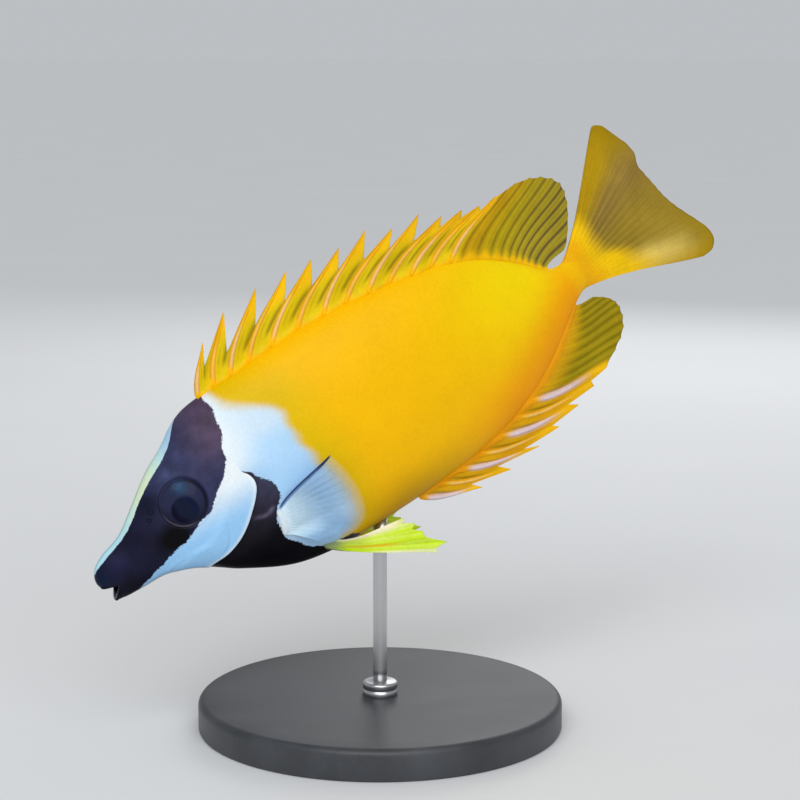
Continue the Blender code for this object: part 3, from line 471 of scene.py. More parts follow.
chest_tone = layered(
    CHEST_TOP,
    (CHEST_LOW, fall(z, -15, 1)),
    (CHEST_REAR, 0.7 * patch(x, z, 51.8, 0.5, 4.0)),
    (CHEST_FOLD, 0.6 * hump(stroke(x, z, FOLD_BEHIND_GILL), 0, 0.5)),
    (KEEL_GREY, 0.6 * ramp(x, 58, 67)))
in_chest = (behind > 0) & (mask_edge < chest_edge)
# Painted shade: the skin folded into the gape darkens to near black inside the mouth.
dark = blend(np.where(in_chest[..., None], chest_tone, mask_tone), MOUTH_SHADOW, ramp(mouth_fold, 0.1, 0.5))
ICE, MINT = tone(184, 232, 246), tone(226, 244, 208)
PERIWINKLE, RIDGE_TEAL = tone(176, 214, 242), tone(60, 110, 124)
blaze = layered(ICE, (MINT, hump(x, 23, 8)), (PERIWINKLE, ramp(x, 30, 37)),
                (RIDGE_TEAL, 0.4 * hump(y, 0, 0.5) * fall(x, 26, 34)))


def nodes_of(name):
    """A new node material, its node maker, and the setter of its Principled shader's sockets. A
    socket is named with _ for a space, or by its number after a _, and takes a value or a link."""
    look = bpy.data.materials.new(name)
    look.use_nodes = True
    tree = look.node_tree

    def put(made, **inputs):
        for word, value in inputs.items():
            socket = made.inputs[int(word[1:]) if word[0] == "_" else word.replace("_", " ")]
            if isinstance(value, bpy.types.NodeSocket):
                tree.links.new(value, socket)
            else:
                socket.default_value = value
        return made

    def node(kind, settings=None, **inputs):
        made = tree.nodes.new("ShaderNode" + kind)
        for word, value in (settings or {}).items():
            setattr(made, word, value)
        return put(made, **inputs)

    return look, node, lambda **inputs: put(tree.nodes["Principled BSDF"], **inputs)


def attribute(node, word):
    """Colour and number outputs of a mesh attribute."""
    made = node("Attribute", {"attribute_name": word})
    return made.outputs["Color"], made.outputs["Fac"]


def noise(node, place, scale, detail, roughness=0.5):
    """Number of a cloudy pattern round one half."""
    return node("TexNoise", Vector=place, Scale=scale, Detail=detail, Roughness=roughness).outputs["Fac"]


def spread(node, value, low, high, start=0.0, end=1.0, way="LINEAR"):
    """Number carried from the span start to end over to the span low to high."""
    return node("MapRange", {"interpolation_type": way}, Value=value, From_Min=start, From_Max=end,
                To_Min=low, To_Max=high).outputs[0]


def reckon(node, way, *numbers):
    """Result of an operation on two or three numbers."""
    inputs = {f"_{k}": number for k, number in enumerate(numbers)}
    return node("Math", {"operation": way}, **inputs).outputs[0]


def mixed(node, share, under, over, way="MIX"):
    """Mix of two colours."""
    return node("Mix", {"data_type": "RGBA", "blend_type": way}, _0=share, _6=under, _7=over).outputs[2]


def shaded(node, colour, level):
    """Colour times a level round 1."""
    grey = node("CombineColor", _0=level, _1=level, _2=level).outputs[0]
    return mixed(node, 1.0, colour, grey, "MULTIPLY")


def bumps(node, height, strength, depth):
    """Fine relief from a height of 0 to 1, of a strength and a depth in metres."""
    return node("Bump", Height=height, Strength=strength, Distance=depth).outputs[0]


def skin_look():
    """Moist skin: ground colour, jagged dark mask and chest, blaze and minute scales."""
    look, node, finish = nodes_of("fish_skin")
    place = node("TexCoord").outputs["Object"]
    scales = node("TexVoronoi", Vector=place, Scale=1500.0)
    flakes = node("TexVoronoi", Vector=place, Scale=1700.0)
    blotch = noise(node, place, 75.0, 4.0, 0.6)
    ragged = spread(node, node("SeparateColor", Color=flakes.outputs["Color"]).outputs[0], -0.2, 0.2)
    shift = reckon(node, "ADD", ragged, spread(node, noise(node, place, 420.0, 2.0), -0.4, 0.4))
    edge = reckon(node, "ADD", attribute(node, "dark_edge")[1], shift)
    stripe = reckon(node, "MULTIPLY_ADD", shift, 0.35, attribute(node, "blaze_edge")[1])
    cloudy = spread(node, noise(node, place, 190.0, 4.0, 0.6), 0.68, 1.34, 0.3, 0.7)
    mottled = shaded(node, attribute(node, "dark")[0], cloudy)
    masked = spread(node, edge, 0.0, 1.0, -0.16, 0.22, "SMOOTHSTEP")
    striped = spread(node, stripe, 0.0, 1.0, -0.14, 0.16, "SMOOTHSTEP")
    colour = mixed(node, masked, attribute(node, "ground")[0], mottled)
    colour = mixed(node, striped, colour, attribute(node, "blaze")[0])
    glint = node("SeparateColor", Color=scales.outputs["Color"]).outputs[1]
    level = reckon(node, "MULTIPLY", spread(node, blotch, 0.91, 1.09), spread(node, glint, 0.975, 1.025))
    rim = reckon(node, "MULTIPLY", scales.outputs["Distance"], -1.0)
    pores = reckon(node, "MULTIPLY_ADD", blotch, 0.6, rim)
    finish(Base_Color=shaded(node, colour, level), Roughness=spread(node, blotch, 0.34, 0.5),
           Specular_IOR_Level=reckon(node, "MULTIPLY", attribute(node, "shine")[1], 0.1),
           Normal=bumps(node, pores, 0.27, 0.00012))
    return look


def with_poles(values):
    """Values of the skin's grid with those of the two poles, which take their neighbour's."""
    flat = values.reshape(place.size, -1)
    return np.concatenate([flat[:1], flat, flat[-1:]]).squeeze()


all_points = np.concatenate([[[SNOUT_X, 0, BACK[0][1]]], skin_points.reshape(-1, 3),
                             [skin_points[-1].mean(axis=0)]])
piece("fish_skin", swim(all_points), capped(*place.shape), skin_look(), "yellow_skin",
      ("head", "body", "tail"), ground=with_poles(ground), dark=with_poles(dark), blaze=with_poles(blaze),
      dark_edge=with_poles(dark_edge), blaze_edge=with_poles(blaze_edge),
      shine=with_poles(fall(mouth_fold, 0.0, 0.4)))

# Lips: two smooth rolls of skin round the edges of the small open mouth. The upper one is dark,
# and the lower one has a pale inner rim.
LIP_RADIUS, LIP_END_RADIUS = 0.52, 0.28
LIP_INSET, LIP_REACH = 0.4, 0.95
LIP_STEPS, LIP_SIDES = 60, 24
UPPER_LIP, LOWER_LIP, LIP_RIM = tone(18, 20, 34), tone(20, 18, 28), tone(150, 146, 164)
lip_share = np.linspace(-1, 1, LIP_STEPS + 1)        # from the right corner to the left one


def lip_path(height, outward_side, reach):
    """Middle of a lip: from the right corner round the front of the snout to the left one, its
    reach towards the front falling with the square of the share to each side."""
    whole = lip_front(height) - MOUTH_CORNER
    along = whole / np.linalg.norm(whole)
    inward = outward_side * np.array([along[1], -along[0]]) * LIP_INSET
    flat = MOUTH_CORNER + whole * reach * (1 - lip_share[:, None] ** 2)
    across = np.sign(lip_share) * flank(flat[:, 0], flat[:, 1]) * LIP_REACH
    flat = flat + inward
    return np.stack([flat[:, 0], across, flat[:, 1]], -1)


def circle(sides):
    """Angles of even steps round a circle, with their cosines and sines."""
    angle = np.arange(sides) * 2 * np.pi / sides
    return angle, np.cos(angle), np.sin(angle)


def roll(path, radius, sides):
    """Points of a closed roll: a circle carried along a path, square to it."""
    way = np.gradient(path, axis=0)
    way /= np.linalg.norm(way, axis=1, keepdims=True)
    across = np.cross(way, [0.0, 0.0, 1.0])
    across /= np.linalg.norm(across, axis=1, keepdims=True)
    _, cosine, sine = circle(sides)
    round_it = across[:, None] * cosine[:, None] + np.cross(across, way)[:, None] * sine[:, None]
    rings = path[:, None] + round_it * radius[:, None, None]
    return np.concatenate([path[:1], rings.reshape(-1, 3), path[-1:]])


def flesh_look(name, roughness, grain, **coat):
    """Soft moist flesh coloured by the tint of each point, with fine mottling."""
    look, node, finish = nodes_of(name)
    mottle = noise(node, node("TexCoord").outputs["Object"], grain, 4.0)
    finish(Base_Color=shaded(node, attribute(node, "tint")[0], spread(node, mottle, 0.85, 1.15)),
           Roughness=spread(node, mottle, roughness - 0.07, roughness + 0.07),
           Normal=bumps(node, mottle, 0.25, 0.0001), Specular_IOR_Level=0.08, **coat)
    return look


LIP_LOOK = flesh_look("lip_flesh", 0.42, 900.0)
lip_radius = LIP_RADIUS + (LIP_END_RADIUS - LIP_RADIUS) * lip_share ** 2
for word, height, way, reach, base, pale_turn, pale_share in (
        ("upper", UPPER_LIP_Z, 1, 0.92, UPPER_LIP, 4.7, 0.12),
        ("lower", LOWER_LIP_Z, -1, 1.0, LOWER_LIP, 1.9, 1.0)):
    inner = pale_share * hump(np.sin((circle(LIP_SIDES)[0] - pale_turn) / 2), 0, 0.3)
    tints = np.tile(blend(base, LIP_RIM, inner), (LIP_STEPS + 1, 1))
    piece(word + "_lip", swim(roll(lip_path(height, way, reach), lip_radius, LIP_SIDES)),
          capped(LIP_STEPS + 1, LIP_SIDES), LIP_LOOK, "mask_skin",
          tint=np.concatenate([tints[:1], tints, tints[-1:]]))

# Nostrils: two small pits ahead of each eye, the rear one wider, each with a low soft rim that
# grows out of the skin.
NOSTRILS = [(19.8, 8.4, 0.42), (21.2, 10.2, 0.55)]       # x, z and radius
NOSTRIL_SIDES, NOSTRIL_RELIEF, NOSTRIL_INSIDE = 28, 1.1, 1.1
NOSTRIL_SUNK, NOSTRIL_FLOOR = 1.2, 0.55                  # ends of the pit under the skin
NOSTRIL_PROFILE = np.array([(1.75, -0.16), (1.5, 0.02), (1.25, 0.1), (1.0, 0.13), (0.85, 0.08),
                            (0.78, -0.08), (0.7, -0.35), (0.45, -0.5)])  # share of the radius, height
NOSTRIL_RIM, NOSTRIL_SHADOW = tone(18, 20, 36), tone(5, 5, 9)


def aside(places, y):
    """Straight points from places in side view and their distances from the midline."""
    return np.stack([places[..., 0], y + 0 * places[..., 0], places[..., 1]], -1)


_, cosine, sine = circle(NOSTRIL_SIDES)
wide, high = NOSTRIL_PROFILE[:, :1], NOSTRIL_PROFILE[:, 1:]
# Painted shadow: each pit darkens to near black below its rim.
depth = np.repeat(ramp(-high, -0.12, 0.3) * (wide < NOSTRIL_INSIDE), NOSTRIL_SIDES)
pit_tint = blend(NOSTRIL_RIM, NOSTRIL_SHADOW, np.concatenate([[0.0], depth, [1.0]]))
for side_word, hand in (("left", -1), ("right", 1)):
    for order, (nose_x, nose_z, radius) in enumerate(NOSTRILS):
        around = np.stack([nose_x + radius * wide * cosine, nose_z + radius * wide * sine], -1)
        rings = aside(around, hand * (flank(around[..., 0], around[..., 1]) + high * NOSTRIL_RELIEF))
        ends = hand * (flank(nose_x, nose_z) - np.array([NOSTRIL_SUNK, NOSTRIL_FLOOR]))
        ends = aside(np.array([[nose_x, nose_z]] * 2), ends)
        points = np.concatenate([ends[:1], rings.reshape(-1, 3), ends[1:]])
        piece(f"nostril_{side_word}_{order + 1}", swim(points), capped(len(wide), NOSTRIL_SIDES),
              LIP_LOOK, "mask_skin", tint=pit_tint)

# Eyes: large wet balls that hardly stand out of the head. The iris is dark slate blue with a painted
# highlight as a blue patch near its top, and a still darker pupil that looks down and back. A thin dark
# line of painted shadow runs round where the ball meets the socket, darkest at the rear.
PUPIL_X, PUPIL_Z = -0.5, -1.9           # from the middle of the eye, forward and up
PUPIL_RADIUS, PUPIL_SINK = 3.8, 0.16
EYE_RINGS, EYE_SIDES = 72, 120
IRIS, IRIS_HIGHLIGHT, IRIS_DIM = tone(41, 45, 73), tone(14, 68, 106), tone(25, 28, 48)
PUPIL, PUPIL_EDGE, PUPIL_REAR = tone(16, 24, 48), tone(2, 2, 32), tone(10, 18, 54)
EYE_SHADOW_LINE, EYE_RING, EYE_RIM = tone(12, 13, 28), tone(126, 114, 130), tone(30, 31, 50)
LOW_FRONT, REAR = (-0.65, -0.76), (0.985, 0.15)      # ways from the middle of the eye
EYE_LOOK = flesh_look("wet_eye", 0.3, 1400.0, Coat_Weight=0.1, Coat_Roughness=0.04, Coat_IOR=1.36)
_, cosine, sine = circle(EYE_SIDES)
polar = np.linspace(0, np.pi, EYE_RINGS + 1)[1:-1, None]
flat_x, flat_z = EYE_RADIUS * np.sin(polar) * cosine, EYE_RADIUS * np.sin(polar) * sine
from_pupil = np.hypot(flat_x - PUPIL_X, flat_z - PUPIL_Z)
deep = EYE_DEPTH * np.cos(polar) - PUPIL_SINK * fall(from_pupil, 3.5, 4.1) * (polar < 1.5)
from_middle = np.hypot(flat_x, flat_z)
low_front = ramp((flat_x * LOW_FRONT[0] + flat_z * LOW_FRONT[1]) / from_middle, 0.5, 0.95)
rear = ramp((flat_x * REAR[0] + flat_z * REAR[1]) / from_middle, 0.3, 0.85)
iris_tint = layered(
    IRIS,
    (IRIS_DIM, ramp(-flat_z - 0.4 * flat_x, -2, 6)),
    # painted highlight: a blue patch near the top of the iris
    (IRIS_HIGHLIGHT, 0.9 * patch(flat_x, flat_z, 1.3, 4.3, 1.7)),
    # painted shadow: a dark line round the ball where it meets the socket, darkest at the rear
    (EYE_SHADOW_LINE, (0.2 + 0.7 * rear) * hump(from_middle, 6.1, 0.35)),
    (EYE_RING, (0.04 + 0.62 * low_front) * hump(from_middle, 6.5, 0.22)),
    (EYE_RIM, ramp(from_middle, 6.75, 6.95)))
to_front = -0.97 * (flat_x - PUPIL_X) - 0.23 * (flat_z - PUPIL_Z)
pupil_tint = layered(
    PUPIL,
    (PUPIL_REAR, 0.7 * ramp(flat_x - PUPIL_X, 1.0, 2.6)),
    (PUPIL_EDGE, ramp(to_front, 0.6, 2.2) * ramp(from_pupil, 1.6, 2.8)))
eye_tint = blend(pupil_tint, iris_tint, ramp(from_pupil, PUPIL_RADIUS - 0.35, PUPIL_RADIUS + 0.25))
eye_tint = np.concatenate([[PUPIL], eye_tint.reshape(-1, 3), [EYE_SHADOW_LINE]])
for side_word, hand in (("left", -1), ("right", 1)):
    centre, out, ahead, rise = eye_frame(hand)
    ball = out * deep[..., None] + ahead * flat_x[..., None] + rise * flat_z[..., None]
    ends = out * (EYE_DEPTH - PUPIL_SINK), -out * EYE_DEPTH
    points = np.concatenate([ends[:1], ball.reshape(-1, 3), ends[1:]]) + centre
    piece("eyeball_" + side_word, swim(points), capped(EYE_RINGS - 1, EYE_SIDES), EYE_LOOK, "eye",
          ("eye_" + side_word,), tint=eye_tint)

# Dorsal fin: thirteen sharp spines, joined by a deeply notched web, then ten branched soft rays.
# The spines lean by turns to the left and the right, and a painted highlight runs pale up the lower shaft
# of each, stronger on the face it leans to. The root is sunk in the skin of the back.
DORSAL_SPINES, DORSAL_RIBS = 13, 23      # ribs are the spines and the rays together
DORSAL_FEET = [(0, 49.2), (3, 66.2), (6, 90.7), (9, 111.8), (12, 131.5), (13, 137.0), (22, 159.4)]
DORSAL_TIPS = [(0, 57.8, 40.8), (1, 67.1, 44.9), (2, 78.0, 45.8), (3, 87.8, 45.3),
               (4, 95.3, 44.4), (5, 103.8, 42.9), (6, 112.8, 43.0), (7, 120.2, 39.1),
               (8, 129.3, 38.2), (9, 135.4, 33.8), (10, 142.2, 31.7), (11, 148.3, 29.4),
               (12, 155.0, 28.6), (13, 163.6, 28.0), (15, 173.5, 24.2), (17, 179.8, 17.2),
               (19, 179.3, 10.2), (20.5, 175.6, 5.4), (22, 169.6, -0.2)]
DORSAL_NOTCHES = [(0.5, 55.0, 34.8), (1.5, 62.2, 34.7), (2.5, 72.5, 36.4), (3.5, 83.0, 37.9),
                  (4.5, 92.0, 37.7), (6.5, 108.6, 36.0), (8.5, 124.4, 32.2), (9.5, 133.8, 31.2),
                  (11.5, 148.2, 28.0)]
WEB_HALF, ROOT_HALF, ROOT_SHARE = 0.13, 0.85, 0.14
SPINE_HALF, SPINE_TIP_HALF = 0.8, 0.1
RAY_HALF, RAY_TIP_HALF = 0.36, 0.16
FIN_BOW, FIN_RISE, FIN_SINK, RAY_BAY = 0.055, 2.5, 1.0, 0.018
NOTCH_SHARE = 0.78                      # of the way from a spine to the next one
FIN_ROWS = np.linspace(0, 1, 46)
SPINE_COLUMNS, WEB_COLUMNS = 9, 15
SPINE_LEAN = 0.28                       # how far a spine stands to its own side of the web
RAY_SPLIT, RAY_WIDTH = 0.23, 0.11       # of the spacing of the rays


def knots_at(knots, number):
    """(x, z) points at rib numbers, on smooth lines through (number, x, z) knots."""
    place, x, z = zip(*knots)
    return np.stack([smooth_line(place, x, number), smooth_line(place, z, number)], -1)


def feet_on(edge, feet):
    """Maker of the feet of ribs, from their numbers: on an edge of the body, at (number, x) knots."""
    return lambda number: np.stack([line(feet, number), outline(edge, line(feet, number))], -1)


def rounded(at, corner):
    """Straight rise from 0 that starts softly, and 0 before it."""
    return np.maximum((at + np.sqrt(at ** 2 + corner ** 2) - corner) / 2, 0)


def fin_plan(spines, ribs, teeth, foot_at, tips, notches, forward, bow=FIN_BOW, bay=RAY_BAY,
             rows=FIN_ROWS, between=WEB_COLUMNS, notch_share=NOTCH_SHARE):
    """Fin as columns of (x, z) points from foot to edge, ordered from its first rib to its last.

    All columns follow one curve: a straight line, bowed forward by a share of the length of the
    ribs there, most at a third of the way up. A spine has columns across its round shaft, which
    are nan elsewhere. Between toothed ribs the edge runs straight from a rib's tip down to the
    notch, a share of the way to the next rib, and steeply up to the next tip. Elsewhere it runs
    along the tips with shallow bays. Returned for each point are its place, half thickness, height
    up the ribs' ridges, row and share of the rib's length, and for each column its rib number,
    place across the shaft and share of the way to the next rib."""
    numbers, across, share = [], [], []
    for rib in range(ribs):
        shaft = SPINE_COLUMNS if rib < spines else 1
        web = between if rib < ribs - 1 else 0
        numbers += [rib] * (shaft + web)
        across += list(np.cos(np.linspace(0, np.pi, shaft))) if rib < spines else [np.nan]
        across += [np.nan] * web
        share += [0.0] * shaft + list(np.linspace(0, 1, web + 2)[1:-1])
    numbers, across, share = np.array(numbers), np.array(across)[:, None], np.array(share)[:, None]
    number = numbers + share[:, 0]
    foot, tip = foot_at(number), knots_at(tips, number)
    end = tip + (foot - tip) * bay * np.sin(np.pi * share)
    down = rounded(notch_share - share, 0.1) / rounded(notch_share, 0.1)
    up = rounded(share - notch_share, 0.05) / rounded(1 - notch_share, 0.05)
    notch = knots_at(notches, numbers + 0.5)
    sharp = notch + (knots_at(tips, numbers) - notch) * down + (knots_at(tips, numbers + 1) - notch) * up
    numbers, number = numbers[:, None], number[:, None]
    end = np.where((numbers < teeth) & (share > 0), sharp, end)
    full, length = np.hypot(*(tip - foot).T)[:, None], np.hypot(*(end - foot).T)[:, None]
    unit = (end - foot) / length
    ahead = (forward * np.stack([-unit[:, 1], unit[:, 0]])).T
    part = rows * np.minimum(length / full, 1)
    curve = bow * full * 27 / 4 * part * (1 - part) ** 2
    chord = end - foot - curve[:, -1:] * ahead
    shaft = SPINE_HALF + (SPINE_TIP_HALF - SPINE_HALF) * rows ** 1.3
    on_spine = np.isfinite(across)
    beside = np.where(on_spine, across, share * (numbers + 1 < spines) - (1 - share) * (numbers < spines))
    aside_of_chord = (curve + beside * shaft)[..., None] * ahead[:, None]
    places = foot[:, None] + rows[:, None] * chord[:, None] + aside_of_chord
    web = WEB_HALF + (ROOT_HALF - WEB_HALF) * fall(rows, 0, ROOT_SHARE)
    near = np.minimum(share, 1 - share)
    split = RAY_SPLIT * ramp(rows, 0.3, 1.0)
    twig = 0.5 * hump(near, split * 0.45, RAY_WIDTH * 0.6) * ramp(rows, 0.7, 1)
    twig = np.maximum(twig, hump(near, split, RAY_WIDTH))
    ridge = np.where(numbers + (share >= 0.5) < spines, 0, twig)
    half = web + np.maximum(RAY_HALF + (RAY_TIP_HALF - RAY_HALF) * rows - web, 0.03) * ridge
    round_shaft = np.sqrt(np.maximum(1 - np.nan_to_num(across) ** 2, 0))
    half = np.where(on_spine, np.maximum(shaft * round_shaft, 0.85 * np.minimum(web, shaft)), half)
    ridge = np.where(on_spine, round_shaft, ridge)
    return places, half, ridge, rows + 0 * ridge, part, number, across, share


def sheet(name, node, slot, look, one, other, tints, foot=None, **more):
    """Thin closed piece between two alike grids of straight points, joined round their border,
    with the tints of its two faces."""
    columns, rows = one.shape[:2]
    count = columns * rows
    faces = cells(columns, rows)
    faces += np.array(cells(columns, rows, first=count))[:, ::-1].tolist()
    along, up = np.arange(columns) * rows, np.arange(rows)
    border = np.concatenate([along, along[-1] + up[1:], along[-2::-1] + up[-1], up[-2:0:-1]])
    after = np.roll(border, -1)
    faces += np.stack([border, after, after + count, border + count], -1).tolist()
    piece(name, np.stack([swim(one, foot), swim(other, foot)]), faces, look, slot, (node,),
          tint=np.stack(tints), **more)


def fin_look(name, roughness, clear=False):
    """Thin moist fin web and rays in the tint of each point, with a fine grain and soft clouds, and where
    it is clear, as dense as each point says."""
    look, node, finish = nodes_of(name)
    place = node("TexCoord").outputs["Object"]
    grain = noise(node, place, 1100.0, 3.0)
    cloud = noise(node, place, 120.0, 3.0)
    level = reckon(node, "MULTIPLY", spread(node, grain, 0.88, 1.12), spread(node, cloud, 0.8, 1.2))
    finish(Base_Color=shaded(node, attribute(node, "tint")[0], level),
           Roughness=spread(node, grain, roughness - 0.08, roughness + 0.08),
           Normal=bumps(node, grain, 0.3, 0.00008), Specular_IOR_Level=0.12)
    if clear:
        finish(Alpha=attribute(node, "dense")[1])
    return look


def outline_fin(name, node, plan, spines, edge, way, wave, tint_of):
    """Dorsal or anal fin on an edge of the body. Its root sinks into the skin, its soft rays rise
    clear of it, and its columns hang rigidly from their feet. Even spines stand to the left and
    odd ones to the right, and the soft part waves by a height and a turn a ray, both given."""
    places, half, _, rows, _, number, _, _ = plan
    edge_z = outline(edge, places[..., 0])
    height = (places[..., 1] - edge_z) * way
    height = np.where(number < spines - 0.9, height, np.maximum(height, FIN_RISE * rows))
    height[:, 0] = -FIN_SINK
    places[..., 1] = edge_z + height * way
    last = spines - 1
    middle = -SPINE_LEAN * np.cos(np.pi * number) * (1 - 0.6 * rows) * fall(number, last, last + 1)
    middle = middle + wave[0] * np.sin(wave[1] * number) * rows ** 2 * ramp(number, last, last + 3)
    sheet(name, node, "fin", FIN_LOOK, aside(places, middle - half), aside(places, middle + half),
          (tint_of(-1), tint_of(1)), places[:, :1, 0])


def near_spine(face):
    """1 for the columns of the fin in hand at a spine that leans to a face, the left one of -1 or
    the right one of 1, and 0 for the others."""
    return 1.0 * ((number.round() % 2 == 0) == (face < 0))


FIN_LOOK = fin_look("fin_web", 0.5)
plan = fin_plan(DORSAL_SPINES, DORSAL_RIBS, DORSAL_SPINES - 1, feet_on(BACK, DORSAL_FEET),
                DORSAL_TIPS, DORSAL_NOTCHES, 1)
_, _, _, rows, part, number, across, share = plan
LEAF, TOOTH_GOLD = tone(232, 202, 6), tone(255, 200, 8)
WEB_OLIVE, NOTCH_HIGHLIGHT, RUST_AND_SHADE = tone(136, 118, 8), tone(170, 158, 88), tone(206, 128, 10)
SHAFT_GOLD, SHAFT_HIGHLIGHT = tone(250, 188, 10), tone(240, 204, 152)
RAY_LIME, RAY_ORANGE, RAY_DIM = tone(188, 164, 8), tone(206, 160, 4), tone(152, 138, 44)
STRIPE_OLIVE, STRIPE_PLUM = tone(98, 80, 10), tone(70, 50, 48)


def dorsal_tint(face):
    """Colours of one face of the dorsal fin: web and shafts, then rays with a stripe between them."""
    olive = hump(share, 0.68, 0.15) * ramp(part, 0.1, 0.24) * fall(part, 0.42, 0.68)
    olive = olive + 0.5 * hump(share, 0.28, 0.08) * hump(part, 0.3, 0.14)
    web = layered(
        LEAF,
        (TOOTH_GOLD, ramp(part, 0.42, 0.75)),
        (WEB_OLIVE, 0.8 * np.minimum(olive, 1)),
        # painted highlight: a greyish pale line along the rim of each notch
        (NOTCH_HIGHLIGHT, 0.6 * hump(rows, 1.0, 0.05) * hump(share, 0.66, 0.15)),
        # rust orange in the web just ahead of each spine, partly its own colour and partly painted shade
        (RUST_AND_SHADE, 0.6 * hump(share, 1.0, 0.1) * ramp(part, 0.12, 0.3)))
    shaft_side = np.nan_to_num(across)
    highlight_streak = hump(shaft_side, -0.1, 0.6) * (0.35 + 0.55 * near_spine(face))
    shaft = layered(
        SHAFT_GOLD,
        # rust orange on the front of each shaft, partly its own colour and partly painted shade
        (RUST_AND_SHADE, 0.5 * ramp(shaft_side, 0.5, 1.0)),
        # painted highlight: a pale streak up the lower shaft
        (SHAFT_HIGHLIGHT, highlight_streak * ramp(part, 0.04, 0.12) * fall(part, 0.42, 0.66)))
    spiny = np.where(np.isfinite(across)[..., None], shaft, web)
    rear = ramp(number + 2.5 * rows, 14, 21)
    stripe = hump(share, 0.5, 0.15) * (0.55 + 0.3 * ramp(number, 14, 18))
    stripe = stripe + 0.35 * hump(np.minimum(share, 1 - share), 0, 0.05) * ramp(rows, 0.4, 0.7)
    rayed = layered(
        RAY_ORANGE,
        (RAY_LIME, ramp(number, 12.5, 15)),
        (RAY_DIM, 0.6 * rear),
        (blend(STRIPE_OLIVE, STRIPE_PLUM, rear), np.minimum(stripe, 1) * ramp(rows, 0.02, 0.14)))
    both = blend(spiny, rayed, ramp(number, 12.0, 12.6))
    return blend(YELLOW, both, ramp(rows, 0.0, 0.10 + 0.05 * np.cos(6.28 * number)))


outline_fin("dorsal_web", "dorsal_fin", plan, DORSAL_SPINES, BACK, 1, (0.35, 1.1), dorsal_tint)

# Anal fin: seven stout spines that lean by turns to each side, then nine branched soft rays. A painted
# highlight shines pale lavender on the shafts of the spines on the near side and on the web beside them.
# The root is sunk in the belly.
ANAL_SPINES, ANAL_RIBS = 7, 16
ANAL_FEET = [(0, 88.7), (3, 110.0), (6, 132.0), (7, 137.0), (15, 160.3)]
ANAL_TIPS = [(0, 106.0, -39.0), (1, 116.2, -39.6), (2, 127.3, -39.0), (3, 136.1, -38.2),
             (4, 145.3, -36.7), (5, 153.6, -35.5), (6, 160.9, -33.8), (7, 167.0, -31.6),
             (9, 173.6, -28.4), (11, 175.3, -24.8), (13, 172.5, -21.3), (15, 167.6, -17.6)]
ANAL_NOTCHES = [(0.5, 103.7, -36.4), (1.5, 113.3, -36.6), (2.5, 123.0, -37.2), (3.5, 134.6, -36.8),
                (4.5, 142.9, -35.0), (5.5, 153.8, -33.9)]
plan = fin_plan(ANAL_SPINES, ANAL_RIBS, ANAL_SPINES - 1, feet_on(BELLY, ANAL_FEET),
                ANAL_TIPS, ANAL_NOTCHES, -1)
_, _, _, rows, part, number, across, share = plan
ANAL_ROOT, ANAL_GOLD, ANAL_TOOTH = tone(244, 164, 4), tone(220, 166, 2), tone(246, 190, 6)
ANAL_SHADE, ANAL_RUST, LAVENDER_HIGHLIGHT = tone(126, 94, 2), tone(208, 134, 4), tone(222, 206, 222)
RAY_ROOT, ANAL_RAY = tone(222, 168, 8), tone(166, 146, 6)
ANAL_OLIVE, ANAL_TWIG = tone(132, 114, 0), tone(172, 136, 50)


def anal_tint(face):
    """Colours of one face of the anal fin: web and shafts, then rays with an olive web."""
    near = near_spine(face)
    beside = np.maximum(hump(share, 0.0, 0.2), 0.7 * hump(share, 1, 0.06)) * near
    web = layered(
        ANAL_GOLD,
        (ANAL_TOOTH, ramp(part, 0.5, 0.8)),
        # painted shadow: dark brown between the teeth, just behind each spine near its root
        (ANAL_SHADE, 0.8 * hump(share, 0.3, 0.17) * hump(part, 0.3, 0.22)),
        (ANAL_RUST, 0.35 * hump(share, 0.86, 0.16) * ramp(part, 0.2, 0.4)),
        # painted highlight in the web beside the near shafts
        (LAVENDER_HIGHLIGHT, 0.9 * beside * ramp(part, 0.12, 0.26) * fall(part, 0.55, 0.85)))
    shaft_side = np.nan_to_num(across)
    highlight_streak = hump(shaft_side, 0.0, 0.5 + 0.9 * near) * (0.25 + 0.75 * near)
    shaft = layered(
        ANAL_TOOTH,
        (ANAL_RUST, 0.5 * ramp(-shaft_side, 0.3, 1) * (1 - near)),
        # painted highlight: a pale lavender streak up the shaft
        (LAVENDER_HIGHLIGHT, highlight_streak * ramp(part, 0.06, 0.2) * fall(part, 0.52, 0.82)))
    spiny = np.where(np.isfinite(across)[..., None], shaft, web)
    rayed = layered(
        ANAL_RAY,
        (ANAL_OLIVE, hump(share, 0.5, 0.24)),
        (ANAL_TWIG, 0.3 * hump(np.minimum(share, 1 - share), 0, 0.08) * ramp(rows, 0.3, 0.6)))
    rayed = blend(RAY_ROOT, rayed, ramp(rows, 0.06, 0.42))
    both = blend(spiny, rayed, ramp(number, 6.1, 6.8))
    return blend(ANAL_ROOT, both, ramp(rows, 0.02, 0.16))


outline_fin("anal_web", "anal_fin", plan, ANAL_SPINES, BELLY, -1, (0.3, 1.3), anal_tint)

